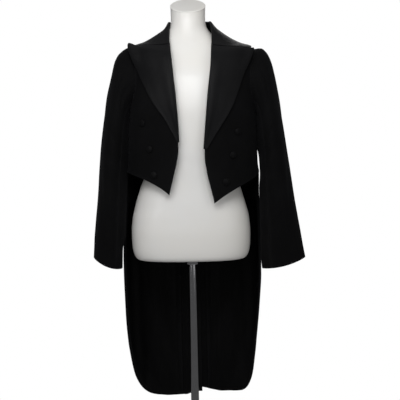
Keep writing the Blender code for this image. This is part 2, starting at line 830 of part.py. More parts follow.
def build_stand():
    """The tube under the form, with the socket that holds it and a plain round foot."""
    floor = -DATUM
    parts = {
        "stand_socket": (
            (0, -SOCKET_DROP),
            (SOCKET_RADIUS - 2, -SOCKET_DROP),
            (SOCKET_RADIUS, -SOCKET_DROP + 2),
            (SOCKET_RADIUS, FORM.keys[0] - SEAM_GAP),
            (0, FORM.keys[0] - SEAM_GAP),
        ),
        "stand_tube": (
            (0, floor + FOOT_THICKNESS + HUB_HEIGHT + SEAM_GAP),
            (ROD_RADIUS, floor + FOOT_THICKNESS + HUB_HEIGHT + SEAM_GAP),
            (ROD_RADIUS, -SOCKET_DROP - SEAM_GAP),
            (0, -SOCKET_DROP - SEAM_GAP),
        ),
        "stand_hub": (
            (0, floor + FOOT_THICKNESS + SEAM_GAP),
            (HUB_RADIUS, floor + FOOT_THICKNESS + SEAM_GAP),
            (HUB_RADIUS, floor + FOOT_THICKNESS + HUB_HEIGHT - 3),
            (HUB_RADIUS - 3, floor + FOOT_THICKNESS + HUB_HEIGHT),
            (0, floor + FOOT_THICKNESS + HUB_HEIGHT),
        ),
        "stand_foot": (
            (0, floor),
            (FOOT_RADIUS - 1, floor),
            (FOOT_RADIUS, floor + 1),
            (FOOT_RADIUS, floor + FOOT_THICKNESS - 3),
            (FOOT_RADIUS - 3, floor + FOOT_THICKNESS),
            (0, floor + FOOT_THICKNESS),
        ),
    }
    for name, profile in parts.items():
        mesh = bmesh.new()
        lathe(mesh, profile, 48 if name == "stand_foot" else 24)
        to_object(mesh, name, CHROME_FINISH, smooth_angle=35)


for old in list(bpy.data.objects):
    bpy.data.objects.remove(old)
PIECES = bpy.data.collections.new("tailcoat_on_dress_form")
bpy.context.scene.collection.children.link(PIECES)

CLOTH_FINISH = material("wool_cloth", (0.012, 0.012, 0.013), 0.85)
SILK_FINISH = material("silk_facing", (0.022, 0.022, 0.024), 0.42)
LINING_FINISH = material("satin_lining", (0.006, 0.006, 0.007), 0.35)
FORM_FINISH = material("form_gloss", (0.83, 0.82, 0.79), 0.3)
CHROME_FINISH = material("chrome", (0.75, 0.75, 0.76), 0.15, 1.0)

for each in SIDES:
    build_forepart(each)
    build_sidebody(each)
    build_back(each)
    build_skirt(each)
    build_lapel(each)
    build_sleeve(each)
build_collar()
build_buttons()
build_form()
build_stand()
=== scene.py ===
"""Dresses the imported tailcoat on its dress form: fine cloth, silk, satin, lacquer, chrome and a plain studio.

Lengths in the tables are millimetres, with heights counted from DATUM over the floor. The front faces -Y.
A side is -1 for the wearer's right, at -X, and +1 for the wearer's left. An angle runs round a section from
the front (0) by the side (90) to the centre back (180). Sizes and colours that a user may change stand in
the panel.
"""

import bisect
import functools
import math

import bmesh
import bpy
from bpy.props import FloatProperty, FloatVectorProperty, PointerProperty
from mathutils import Matrix, Vector, noise


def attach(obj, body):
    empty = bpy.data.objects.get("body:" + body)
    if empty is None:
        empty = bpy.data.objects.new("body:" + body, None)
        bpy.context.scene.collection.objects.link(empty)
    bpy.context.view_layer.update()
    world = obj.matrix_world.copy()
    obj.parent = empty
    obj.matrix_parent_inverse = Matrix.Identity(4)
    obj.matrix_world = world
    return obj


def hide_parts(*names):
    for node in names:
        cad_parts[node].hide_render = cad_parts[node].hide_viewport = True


bl_info = {
    "name": "Tailcoat on a dress form",
    "version": (1, 0, 0),
    "blender": (4, 5, 0),
    "location": "3D View > Sidebar > Tailcoat",
    "description": "Makes each cut piece of an evening tailcoat, its dress form and a plain studio",
    "category": "Add Mesh",
}

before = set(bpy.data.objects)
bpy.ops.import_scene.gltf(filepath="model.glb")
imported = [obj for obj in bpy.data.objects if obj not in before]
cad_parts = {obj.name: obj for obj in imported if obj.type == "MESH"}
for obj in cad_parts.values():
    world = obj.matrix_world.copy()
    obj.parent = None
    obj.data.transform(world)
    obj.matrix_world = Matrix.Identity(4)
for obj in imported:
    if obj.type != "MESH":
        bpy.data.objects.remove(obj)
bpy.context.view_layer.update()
BODY = "root"

MM = 0.001
DATUM = 780.0  # the height over the floor of the tables' zero

LEAF = 2.6  # wall of a lapel or collar leaf
SEAM_GAP = 0.3
LAY_GAP = 1.0  # between a leaf or a lap and what it lies on

NECK_SEAM = 650.0
COLLAR_FOLD = 675.0
SIDE_SEAM = 88.0  # the angles of both seams
SHOULDER_SEAM = 90.0
PLEAT = 161.0  # the angle of the back strip's front edge, below the waist
PLEAT_LAP = 4.0  # degrees that a skirt reaches under the back strip
VENT_LAP = 8.0  # degrees that one back laps over the other
LAP_LOW = 18.0  # the laps ease out between these depths below the waist
LAP_HIGH = 12.0
HEM_BAND = 73.0  # how high over a tail's hem the slope of the hem eases out
HEM_ROWS = 7  # rows of a panel's turned-up hem
FACING_SHARE = 0.36  # how much of a front's width its cloth facing takes

ARMHOLE_Y = 2.0
ARMHOLE_FOOT = 404.0
ARMHOLE_HALF_DEPTH = 73.0
ARMHOLE_HALF_HEIGHT = {-1: 92.0, 1: 88.5}
SHOULDER_DROP = {-1: 0.0, 1: 7.0}
SIDEBODY_TOP = 486.0

FOREARM_SEAM = 128.0  # the angles of a sleeve's seams
HINDARM_SEAM = 248.0
SLEEVE_LIFT = -0.8  # the sleeve's head against the panels' outer face, sunk so that no light passes the seam
SLEEVE_STEP = 57.0  # how far apart two rings of a sleeve lie
SLEEVE_SEAM = 0.12  # half of the gap at a sleeve's seam, in degrees
SLEEVE_HEM = 9.3  # the ring where the satin ends and the turned-up hem begins
CUFF = 10.0  # the last ring
CUFF_BOW = 7.0  # how much lower the middle of a cuff hangs than its corners
ARMPIT_LAP = 1.6  # how far a sleeve laps the panels under the arm
LEANING_ANGLE = 165.0  # the middle of the stretch of a sleeve that leans on the body, and its half width
LEANING_WIDTH = 24.0

SOFT_EDGE = 0.7  # how wide the rounding along a cut piece's edge is
ROUNDING = 0.34  # and how deep, as a share of the wall
WEAR_AND_SHEEN_REACH = 3.5  # how far in from an edge its wear and its painted sheen fade
FOLD_REACH = 1.2  # how far from its fold a leaf lies flat


class Table:
    """Rows of named columns, read between rows by a smooth curve that never overshoots."""

    def __init__(self, columns, *rows):
        self.keys = [row[0] for row in rows]
        self.values = dict(zip(columns.split(), zip(*rows)))
        self.slopes = {name: self.slopes_of(column) for name, column in self.values.items()}

    def slopes_of(self, column):
        steps = [b - a for a, b in zip(self.keys, self.keys[1:])]
        rises = [(b - a) / step for a, b, step in zip(column, column[1:], steps)]
        slopes = [rises[0]]
        for before, after in zip(rises, rises[1:]):
            slopes.append(2 * before * after / (before + after) if before * after > 0 else 0.0)
        return slopes + [rises[-1]]

    def at(self, key, name):
        key = min(max(key, self.keys[0]), self.keys[-1])
        i = min(bisect.bisect_right(self.keys, key), len(self.keys) - 1) - 1
        step = self.keys[i + 1] - self.keys[i]
        t = (key - self.keys[i]) / step
        low, high = self.values[name][i : i + 2]
        leave, arrive = (slope * step for slope in self.slopes[name][i : i + 2])
        return (
            low * (1 + 2 * t) * (1 - t) ** 2
            + high * t * t * (3 - 2 * t)
            + leave * t * (1 - t) ** 2
            - arrive * t * t * (1 - t)
        )


# The coat's outer face, as rings from the tails' hem to the collar's fold.
COAT = Table(
    "height side_z front_z back_z half_width front back centre_x power",
    (-400, -400, -400, -400, 183, 110, 139, 1.5, 2.2),
    (-300, -300, -300, -300, 187, 110, 139, 1, 2.2),
    (-150, -150, -150, -150, 192, 112, 138, 0.5, 2.3),
    (0, 0, 0, 0, 193, 116, 136, -0.5, 2.3),
    (120, 120, 120, 120, 189.5, 119, 129, 2, 2.3),
    (200, 200, 200, 200, 184, 121, 117, 4, 2.3),
    (240, 240, 240, 240, 183, 121, 111, 5, 2.3),
    (270, 270, 270, 270, 179, 122, 108, 5, 2.3),
    (340, 340, 340, 340, 176.5, 128, 111, 7, 2.3),
    (430, 430, 430, 430, 175, 134, 119, 9, 2.3),
    (500, 500, 500, 500, 175, 130, 123, 11, 2.2),
    (545, 556, 536, 542, 178, 120, 117, 12, 2.1),
    (570, 585, 555, 562, 170, 109, 107, 13, 2.1),
    (600, 600.5, 578, 587, 129.5, 90, 91, 11, 2.0),
    (630, 620, 602, 614, 92, 71, 74, 7, 2.0),
    (650, 637, 621, 636, 68, 59, 63, 6, 2.0),
    (675, 655, 644, 662, 55.4, 53, 57, 4, 2.0),
)

# The inner edge of each front: the roll line above, and the free edge from the break down to the point.
FRONT_EDGE = {
    -1: Table(
        "z x",
        (190, 57.5), (227, 48.5), (269, 38), (311, 31), (374, 33), (459, 39), (545, 47.5),
        (614, 53), (680, 54),
    ),
    1: Table(
        "z x",
        (172, 61), (205, 53.5), (248, 43.5), (290, 38), (374, 44), (459, 52), (545, 62),
        (614, 64.5), (680, 60),
    ),
}
SIDES = {
    -1: dict(name="right", waist=252.0, back_waist=240.0, point_drop=62.0, hem_curve=1.75, hem=-397.0),
    1: dict(name="left", waist=247.0, back_waist=238.0, point_drop=81.0, hem_curve=1.2, hem=-386.0),
}

# The lapel's outer edge from its foot to the peak's tip, seen from the front.
LAPEL_EDGE = {
    -1: Table(
        "z x",
        (330, 32), (361, 48), (391, 64), (428, 89), (453, 103), (480, 116), (506, 128), (532, 138),
        (586, 151),
    ),
    1: Table(
        "z x",
        (311, 43), (330, 55), (349, 67), (373, 82), (405, 102), (435, 117.5), (464, 128.5),
        (499, 140.5), (527, 152), (574, 168),
    ),
}
GORGE = 604.0
COLLAR_CORNER = {-1: (140.0, 586.0), 1: (158.0, 575.0)}
PEAK_LIFT = {-1: 15.0, 1: 8.0}
COLLAR_EDGE = Table("angle height", (70, 583), (90, 597), (100, 607), (112, 616), (125, 623), (180, 630))

BACK_SEAM = Table("height angle", (229, 161), (300, 160), (360, 155), (420, 145), (460, 136), (492, 126))

# How far the tail's front edge reaches, as a share of the ring's half width, against the height over the hem.
TAIL_EDGE = {
    -1: Table(
        "rise share",
        (0, 0.45), (4, 0.60), (15, 0.735), (36, 0.83), (58, 0.878), (80, 0.91), (130, 0.952),
        (177, 0.974), (260, 0.988), (640, 0.998),
    ),
    1: Table(
        "rise share",
        (0, 0.60), (4, 0.73), (14, 0.80), (30, 0.843), (52, 0.873), (80, 0.89), (121, 0.907),
        (168, 0.924), (214, 0.945), (283, 0.972), (351, 0.988), (640, 0.998),
    ),
}

# Sleeves: where each ring's outermost and innermost points lie, and its front and its back.
SLEEVES = {
    -1: Table(
        "ring outer_x outer_z inner_x inner_z front_y back_y",
        (0, 168, 588, 166, 404, -71, 75),
        (1, 181, 587, 168, 394, -76, 80),
        (2, 193, 576, 169.7, 382, -80, 83),
        (3, 203, 555, 170.7, 364, -81, 84),
        (4, 215, 503, 171.6, 337, -81, 84),
        (5, 228, 444, 173.7, 300, -80, 82),
        (6, 240, 360, 178.3, 246, -78, 76),
        (7, 250, 262, 183, 178, -76, 66),
        (8, 258, 160, 187.3, 98, -72, 54),
        (9, 265, 85, 190.3, 38, -69, 42),
        (10, 270, 20, 192, -12, -67, 32),
    ),
    1: Table(
        "ring outer_x outer_z inner_x inner_z front_y back_y",
        (0, 186, 581, 184, 404, -71, 75),
        (1, 202, 582, 185, 394, -76, 80),
        (2, 214.5, 571, 185.4, 382, -80, 83),
        (3, 223.5, 551, 185.4, 364, -81, 84),
        (4, 235, 503, 185.5, 337, -81, 84),
        (5, 247, 432, 186.5, 300, -80, 82),
        (6, 258, 350, 189.3, 246, -78, 74),
        (7, 272, 252, 190, 178, -74, 60),
        (8, 285, 152, 190.5, 98, -67, 42),
        (9, 297, 78, 191, 38, -60, 22),
        (10, 309, 11, 192, -18, -54, 6),
    ),
}
ARMHOLE_SHARE = Table("ring share", (0, 1.0), (1, 0.74), (2, 0.42), (3, 0.14), (4, 0.0))

# The dress form, from its underside to the neck.
FORM = Table(
    "z half_width front back power",
    (8, 133, 78, 92, 2.4),
    (10.5, 145, 86, 101, 2.4),
    (19, 154, 92, 108, 2.4),
    (34, 159.5, 95, 113, 2.4),
    (57, 162.3, 97, 116, 2.4),
    (85, 163, 98, 117, 2.4),
    (119, 160.5, 97, 115, 2.4),
    (163, 150.5, 96, 108, 2.3),
    (207, 137, 95, 98, 2.3),
    (265, 119.5, 99, 84, 2.2),
    (310, 121, 106, 86, 2.2),
    (365, 130, 112, 93, 2.2),
    (415, 140, 115, 99, 2.2),
    (455, 147, 112, 103, 2.2),
    (500, 152, 104, 103, 2.3),
    (540, 152, 89, 96, 2.3),
    (570, 146, 76, 87, 2.2),
    (584, 129, 69, 79, 2.1),
    (596, 106, 62, 70, 2.0),
    (612, 78, 55, 61, 2.0),
    (630, 58, 50, 54, 2.0),
    (645, 49.2, 47.5, 51, 2.0),
    (662, 46.9, 45.5, 48.5, 2.0),
    (720, 48, 46, 49, 2.0),
)
NECK_TOP = 698.0
NECK_SLANT = math.radians(25)

ROD_RADIUS = 11.0
SOCKET_RADIUS = 19.0
SOCKET_DROP = 6.0
FOOT_RADIUS = 165.0
FOOT_THICKNESS = 8.0
HUB_RADIUS = 24.0
HUB_HEIGHT = 16.0
RIM_ANGLE = math.radians(60)  # an edge that folds more than this is a rim

# The camera's place and what it looks at in metres, and how wide a strip of the scene it takes in there.
CAMERA_PLACE = (0.0237, -3.2, 1.11)
CAMERA_TARGET = (0.02365, 0.0, 0.9505)
CAMERA_ROLL = math.radians(-1.05)
VIEW_WIDTH = 1.1
SENSOR_WIDTH = 36.0

# Where the front view shows each button: how far out from the middle, and its height.
FRONT_BUTTONS = {
    -1: ((125.5, 383.0), (107.5, 313.0), (97.5, 244.0)),
    1: ((127.0, 356.0), (113.0, 294.0), (93.5, 223.0)),
}

# Creases of the coat's body and tails, from one angle and height to another, with the half width, the depth
# (below zero for a trough, above it for a ridge) and how far the middle bows aside.
COAT_CREASES = {
    -1: (
        (74, 412, 66, 530, 12, -3.2, 4),
        (84, 398, 60, 338, 9, -1.9, 5),
        (86, 352, 58, 286, 8, -1.5, -4),
        (86, 318, 66, 262, 7, -1.2, 3),
        (42, 300, 56, 236, 9, 1.1, 0),
        (112, 448, 134, 372, 10, -2.3, 6),
        (106, 408, 128, 330, 8, -1.7, 4),
        (120, 300, 152, 256, 9, -1.5, 3),
        (150, 520, 157, 392, 20, -2.4, 0),
        (168, 352, 172, 262, 12, -1.5, 0),
        (98, 226, 104, 40, 16, -3.0, 6),
        (112, 190, 107, -330, 15, 3.0, -5),
        (121, 110, 119, -395, 13, -3.4, 4),
        (134, 170, 137, -240, 17, 2.6, 0),
        (144, 60, 147, -395, 12, -3.2, -3),
        (153, 200, 155, -120, 9, 1.6, 0),
        (171, 180, 172, -395, 9, -1.7, 0),
    ),
    1: (
        (76, 406, 69, 522, 13, -3.4, 5),
        (85, 388, 62, 318, 10, -2.1, -5),
        (86, 340, 64, 276, 8, -1.4, 4),
        (84, 300, 60, 250, 7, -1.3, 2),
        (40, 282, 52, 214, 10, 1.2, 0),
        (110, 452, 131, 384, 11, -2.1, 5),
        (108, 414, 124, 344, 8, -1.9, -3),
        (122, 306, 150, 262, 10, -1.4, 4),
        (151, 512, 156, 380, 22, -2.2, 0),
        (167, 340, 171, 268, 13, -1.4, 0),
        (101, 214, 97, -40, 14, -2.7, -5),
        (110, 160, 115, -280, 18, 2.8, 4),
        (127, 150, 123, -386, 14, -3.6, 5),
        (137, 60, 141, -386, 15, 2.7, 0),
        (150, 180, 149, -320, 12, -2.9, 4),
        (156, 30, 157, -386, 9, 1.5, 0),
        (173, 120, 172, -386, 10, 1.4, 0),
    ),
}

# Creases of the sleeves, from one angle and ring to another. 0 is outermost, 90 the front, 180 the underarm.
SLEEVE_CREASES = {
    -1: (
        (58, 0.9, 74, 4.3, 10, -2.6, 4),
        (96, 1.2, 104, 3.6, 9, -2.3, -3),
        (28, 1.3, 40, 5.2, 14, 1.6, 4),
        (146, 4.9, 66, 5.5, 8, -2.6, 7),
        (148, 5.5, 58, 6.3, 8, -3.2, 9),
        (150, 6.1, 74, 7.1, 9, -2.7, 6),
        (122, 6.9, 60, 7.7, 8, -1.6, -4),
        (34, 6.6, 78, 9.1, 15, -1.9, 6),
        (112, 7.4, 100, 9.5, 11, 1.5, 0),
        (-22, 4.6, 26, 6.0, 15, -1.5, 5),
        (-58, 1.6, -50, 4.7, 11, -2.1, 3),
        (-84, 4.8, -38, 6.2, 9, -2.0, -5),
        (-96, 5.9, -44, 6.9, 9, -1.8, 4),
        (-66, 7.0, -80, 9.3, 13, -1.6, 0),
        (4, 7.8, 18, 9.7, 13, 1.3, 0),
    ),
    1: (
        (64, 0.9, 80, 4.0, 11, -2.8, -4),
        (102, 1.1, 108, 3.3, 9, -2.1, 3),
        (24, 1.6, 32, 4.8, 13, 1.7, -4),
        (150, 4.7, 74, 5.2, 8, -2.4, 6),
        (148, 5.2, 54, 6.1, 9, -3.3, 8),
        (152, 5.9, 66, 6.8, 8, -2.5, 9),
        (130, 6.6, 70, 7.3, 8, -1.8, 4),
        (30, 6.3, 66, 8.7, 16, -2.1, -6),
        (104, 7.0, 92, 9.2, 12, 1.6, 0),
        (-30, 4.3, 20, 5.7, 14, -1.6, -5),
        (-54, 1.4, -60, 4.4, 11, -2.2, 3),
        (-88, 4.5, -40, 5.8, 9, -1.9, 5),
        (-92, 5.6, -36, 6.7, 9, -2.1, -4),
        (-60, 6.9, -74, 9.1, 14, -1.5, 0),
        (-6, 7.6, 8, 9.6, 14, 1.4, 0),
    ),
}


def smooth_step(low, high, value):
    """0 at low, 1 at high, a soft ramp between, and level beyond."""
    t = min(max((value - low) / (high - low), 0.0), 1.0)
    return t * t * (3 - 2 * t)


def between(low, high, share):
    return low + (high - low) * share


def stops(low, high, steps):
    """Even stops from low up to, but without, high."""
    return [between(low, high, i / steps) for i in range(steps)]


def crowded_stops(low, high, steps):
    """Stops that crowd towards both ends."""
    return [between(low, high, (1 - math.cos(math.pi * i / steps)) / 2) for i in range(steps)]


def edged(low, high, steps, near):
    """Even stops from low to high, with one more just inside each end for the rounding of the edge."""
    middle = [between(low, high, i / steps) for i in range(1, steps)]
    return [low, low + near, *middle, high - near, high]


def root(function, low, high, halvings=24):
    """Where a rising function crosses zero."""
    for _ in range(halvings):
        middle = (low + high) / 2
        if function(middle) < 0:
            low = middle
        else:
            high = middle
    return (low + high) / 2


def hump(distance, width):
    return math.exp(-((distance / width) ** 2))


RING_STEP = 0.5
RING_COLUMNS = "side_z front_z back_z half_width front back centre_x power".split()
RINGS = [
    tuple(COAT.at(COAT.keys[0] + i * RING_STEP, name) for name in RING_COLUMNS)
    for i in range(round((COLLAR_FOLD - COAT.keys[0]) / RING_STEP) + 2)
]


def ring(height):
    """A ring's measures, blended between two rows that lie close together."""
    place = min(max((height - COAT.keys[0]) / RING_STEP, 0.0), len(RINGS) - 2.0)
    i = int(place)
    t = place - i
    return [a + (b - a) * t for a, b in zip(RINGS[i], RINGS[i + 1])]


def coat_point(side, angle, height):
    """A point on the coat's outer face, without its creases."""
    side_z, front_z, back_z, half_width, front, back, centre_x, power = ring(height)
    turn = math.radians(angle)
    sine, cosine = math.sin(turn), math.cos(turn)
    depth, end_z = (front, front_z) if angle < 90 else (back, back_z)
    radius = (abs(sine / half_width) ** power + abs(cosine / depth) ** power) ** (-1 / power)
    if height < 180 and angle > 90:  # the soft waves of a tail
        swell = 6.0 * smooth_step(0, 560, 180 - height) * (1 - smooth_step(145, 165, angle))
        radius += swell * math.sin(math.radians(angle * 6.2 + 40 * side))
    lift = (end_z - side_z) * cosine**2
    if height > 480:
        lift -= SHOULDER_DROP[side] * sine**2 * smooth_step(480, 565, height) * smooth_step(655, 600, height)
    above = max(height - COLLAR_FOLD, 0.0)
    return Vector((centre_x + side * radius * sine, -radius * cosine, side_z + lift + above))


def coat_normal(side, angle, height):
    """The coat's outward direction."""
    low, high = max(angle - 0.5, 0.0), min(angle + 0.5, 180.0)
    across = coat_point(side, high, height) - coat_point(side, low, height)
    top = min(height + 1.5, COLLAR_FOLD)
    upwards = coat_point(side, angle, top) - coat_point(side, angle, top - 3.0)
    return across.cross(upwards).normalized() * side


def in_millimetres(creases, degree, rise):
    """The creases with both ends in millimetres, a degree across and a rise along the cloth at a time."""
    made = []
    for angle_0, run_0, angle_1, run_1, width, depth, bow in creases:
        start = Vector((angle_0 * degree, run_0 * rise))
        end = Vector((angle_1 * degree, run_1 * rise))
        made.append((start, (end - start).normalized(), (end - start).length, width, depth, bow))
    return made


def pressed(creases, across, along):
    """How far the creases near this place push the cloth out, or pull it in."""
    total = 0.0
    for start, way, length, width, depth, bow in creases:
        x, y = across - start.x, along - start.y
        t = (x * way.x + y * way.y) / length
        if not -0.2 < t < 1.2:
            continue
        off = x * way.y - y * way.x - bow * 4 * t * (1 - t)
        if abs(off) > 4 * width:
            continue
        shape = hump(off, width) - 0.32 * hump(off - 1.9 * width, 1.1 * width)
        total += depth * shape * smooth_step(-0.2, 0.3, t) * smooth_step(1.2, 0.55, t)
    return total


def off_the_armhole(side, point):
    """0 on the armhole's seam, where no crease may open it, and 1 from a little outside it."""
    across = (point.y - ARMHOLE_Y) / ARMHOLE_HALF_DEPTH
    upwards = (point.z - ARMHOLE_FOOT - ARMHOLE_HALF_HEIGHT[side]) / ARMHOLE_HALF_HEIGHT[side]
    if side * point.x < 100:
        return 1.0
    return smooth_step(1.02, 1.32, math.hypot(across, upwards))


DEGREE_OF_COAT = 2.8  # millimetres of cloth in one degree of the coat, and of a sleeve
DEGREE_OF_SLEEVE = 1.45
COAT_RUNS = {side: in_millimetres(rows, DEGREE_OF_COAT, 1.0) for side, rows in COAT_CREASES.items()}
SLEEVE_RUNS = {
    side: in_millimetres(rows, DEGREE_OF_SLEEVE, SLEEVE_STEP) for side, rows in SLEEVE_CREASES.items()
}


@functools.lru_cache(maxsize=4096)
def coat_frame(side, angle, height):
    """A point on the coat's face with its creases, and the outward direction there."""
    out = coat_normal(side, angle, height)
    across = angle * DEGREE_OF_COAT
    from_back = side * (180 - angle) * DEGREE_OF_COAT
    point = coat_point(side, angle, height)
    push = pressed(COAT_RUNS[side], across, height)
    push += 1.1 * noise.noise(Vector((from_back * 0.013, height * 0.009, 3.7)))
    push += 0.4 * noise.noise(Vector((from_back * 0.045, height * 0.03, 8.1)))
    if push > 0:
        push *= 1 - 0.9 * hump(angle - 88, 32) * smooth_step(150, 230, height)  # the sleeve lies close there
    else:
        push *= between(smooth_step(88, 108, angle), 1.0, smooth_step(240, 290, height))
    push *= smooth_step(590, 520, height) * off_the_armhole(side, point)
    return point + out * push * settings().crease_depth, out


def coat_offset(side, angle, height, offset):
    """A point moved out from the coat's face by offset, or in where it is negative."""
    if angle > 180:
        side, angle = -side, 360 - angle
    point, out = coat_frame(side, angle, height)
    return point + out * offset


@functools.cache
def front_edge_angle(side, height):
    """Where a ring meets the inner edge of the front."""

    def beyond(angle):
        point = coat_point(side, angle, height)
        return side * point.x - FRONT_EDGE[side].at(point.z, "x")

    return root(beyond, 2.0, 89.0)


def angle_at_x(side, height, x):
    """The front angle where a ring reaches x, counted outwards from the form's axis."""
    return root(lambda angle: side * coat_point(side, angle, height).x - x, 2.0, 89.9)


@functools.cache
def place_seen(side, x, z):
    """The angle and ring of the point that the front view shows at x and z."""

    def over(height):
        return coat_point(side, angle_at_x(side, height, x), height).z - z

    height = root(over, 150.0, COLLAR_FOLD, halvings=20)
    return angle_at_x(side, height, x), height


@functools.cache
def armhole_angle(side, height, far):
    """Where a ring meets the armhole's edge, looking from far, an angle in front of it or behind it."""

    def inside(share):
        point = coat_point(side, between(far, 90, share), height)
        across = (point.y - ARMHOLE_Y) / (ARMHOLE_HALF_DEPTH + SEAM_GAP)
        half_height = ARMHOLE_HALF_HEIGHT[side]
        upwards = (point.z - ARMHOLE_FOOT - half_height) / (half_height + SEAM_GAP)
        return 1 - across**2 - upwards**2

    return between(far, 90, root(inside, 0.0, 1.0))


ARMHOLE_LOW = ARMHOLE_FOOT - SEAM_GAP
ARMHOLE_TOP = ARMHOLE_FOOT + 2 * ARMHOLE_HALF_HEIGHT[-1] + SEAM_GAP
ARMHOLE_HIGH = root(lambda height: COAT.at(height, "side_z") - ARMHOLE_TOP, 500, 640)

# Rows that the panels above the waist share. The first stretch holds shares of the way from the waist seam to
# the armhole, and the others hold ring heights.
WAIST_SHARES = [0.0, 0.005] + [i / 38 for i in range(1, 38)]
WAIST_ROWS = len(WAIST_SHARES)
LOW_ARMHOLE_ROWS = crowded_stops(ARMHOLE_LOW, 2 * SIDEBODY_TOP - ARMHOLE_LOW, 56)[:29]
BODY_ROWS = (
    WAIST_SHARES
    + LOW_ARMHOLE_ROWS
    + [between(SIDEBODY_TOP, ARMHOLE_HIGH, math.sin(math.pi / 2 * i / 34)) for i in range(1, 34)]
    + stops(ARMHOLE_HIGH, NECK_SEAM, 18)
    + [NECK_SEAM - SOFT_EDGE, NECK_SEAM]
)
SIDEBODY_ROWS = WAIST_ROWS + len(LOW_ARMHOLE_ROWS) - 1


def waist_at(side, angle):
    """The waist seam's height, which slopes from the side to the back."""
    own = SIDES[side]
    return between(own["waist"], own["back_waist"], smooth_step(SIDE_SEAM, PLEAT, angle))


def body_height(side, row, angle):
    return between(waist_at(side, angle), ARMHOLE_LOW, BODY_ROWS[row]) if row < WAIST_ROWS else BODY_ROWS[row]


def seam_gap(side, angle, height):
    """Half of a seam's gap, as an angle on the ring there."""
    spoke = coat_point(side, angle, height) - Vector((COAT.at(height, "centre_x"), 0, 0))
    return math.degrees(SEAM_GAP / 2 / math.hypot(spoke.x, spoke.y))


@functools.cache
def side_edge(side, row, height, seam, far):
    """A panel's edge on the side seam, then round the armhole, then on the shoulder seam."""
    if row > WAIST_ROWS and height < ARMHOLE_HIGH - 0.01:
        return armhole_angle(side, height, far)
    away = 1 if far > 90 else -1
    seam = seam if row <= WAIST_ROWS else SHOULDER_SEAM
    return seam + away * seam_gap(side, seam, height)


@functools.cache
def back_seam(side, height, away):
    """An edge on the curved seam of the back, which ends at the armhole."""
    last = armhole_angle(side, SIDEBODY_TOP, 172.0) + 0.8
    seam = BACK_SEAM.at(height, "angle")
    seam += (last - BACK_SEAM.at(SIDEBODY_TOP, "angle")) * smooth_step(400, SIDEBODY_TOP, height)
    return seam + away * seam_gap(side, seam, height)


def settings():
    """The sizes and colours that stand in the panel."""
    return bpy.context.scene.tailcoat


def to_object(mesh, name, finishes, smooth_angle=60):
    """Puts a bmesh, in the tables' millimetres, into the scene in metres, where it rides on the one body."""
    for vert in mesh.verts:
        vert.co = (vert.co + Vector((0, 0, DATUM))) * MM
    bmesh.ops.recalc_face_normals(mesh, faces=mesh.faces)
    if mesh.calc_volume(signed=True) < 0:
        bmesh.ops.reverse_faces(mesh, faces=mesh.faces)
    data = bpy.data.meshes.new(name)
    mesh.to_mesh(data)
    mesh.free()
    for finish in finishes:
        data.materials.append(bpy.data.materials[finish])
    data.shade_smooth()
    data.set_sharp_from_angle(angle=math.radians(smooth_angle))
    made = bpy.data.objects.new(name, data)
    bpy.context.scene.collection.objects.link(made)
    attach(made, BODY)
    return made


def thread_runs(points, columns, rows):
    """How far each place of a grid lies across and along the cloth, counted from its middle column."""
    middle = columns // 2
    along = [0.0]
    for row in range(rows):
        along.append(along[-1] + (points[middle, row + 1] - points[middle, row]).length)
    runs = {}
    for row in range(rows + 1):
        across = 0.0
        for column in range(middle, columns + 1):
            runs[column, row] = (across, along[row])
            if column < columns:
                across += (points[column + 1, row] - points[column, row]).length
        across = 0.0
        for column in range(middle, 0, -1):
            across -= (points[column, row] - points[column - 1, row]).length
            runs[column - 1, row] = (across, along[row])
    return runs


def wall(name, surface, across, along, finishes, faced=None):
    """A cut piece on a grid, where surface(x, y, depth) places it for x in across and y in along.

    Depth 0 is its outer face and 1 its inner one. Its edges are rounded, a map follows its threads, and an
    attribute tells how near an edge a place is. The inner face shows the second finish where faced(x, y) is
    true.
    """
    columns, rows = len(across) - 1, len(along) - 1
    mesh = bmesh.new()
    bmesh.ops.create_grid(mesh, x_segments=columns, y_segments=rows, size=0.5)
    bmesh.ops.extrude_face_region(mesh, geom=mesh.faces[:], use_keep_orig=True)
    mesh.verts.ensure_lookup_table()
    cells = [(round((v.co.x + 0.5) * columns), round((v.co.y + 0.5) * rows)) for v in mesh.verts]
    half = len(cells) // 2
    for index, vert in enumerate(mesh.verts):
        column, row = cells[index]
        at_rim = column in (0, columns) or row in (0, rows)
        depth = abs((index >= half) - (ROUNDING if at_rim else 0.0))
        vert.co = surface(across[column], along[row], depth)
    points = {cells[i]: mesh.verts[i].co.copy() for i in range(half)}
    runs = thread_runs(points, columns, rows)
    thread_run = mesh.loops.layers.uv.new("thread_run")
    for face in mesh.faces:
        for loop in face.loops:
            run = runs[cells[loop.vert.index]]
            loop[thread_run].uv = (run[0] * MM, run[1] * MM)
    edge_wear = mesh.verts.layers.float.new("edge_wear")
    for index, vert in enumerate(mesh.verts):
        column, row = cells[index]
        x, y = runs[column, row]
        nearest = min(x - runs[0, row][0], runs[columns, row][0] - x, y, runs[column, rows][1] - y)
        vert[edge_wear] = math.exp(-nearest / WEAR_AND_SHEEN_REACH)
    if faced:
        for face in mesh.faces:
            if all(vert.index >= half for vert in face.verts):
                column = min(cells[vert.index][0] for vert in face.verts)
                row = min(cells[vert.index][1] for vert in face.verts)
                face.material_index = int(faced(across[column], along[row]))
    return to_object(mesh, name, finishes)


def cloth():
    """Thickness of the wool cloth in millimetres."""
    return settings().cloth_wall / MM


def lay_sheet(node, flat, area):
    """Hides the CAD node that the piece stands in for; flat, the cut's size in metres, and area, in square
    metres, are not used.
    """
    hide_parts(node)


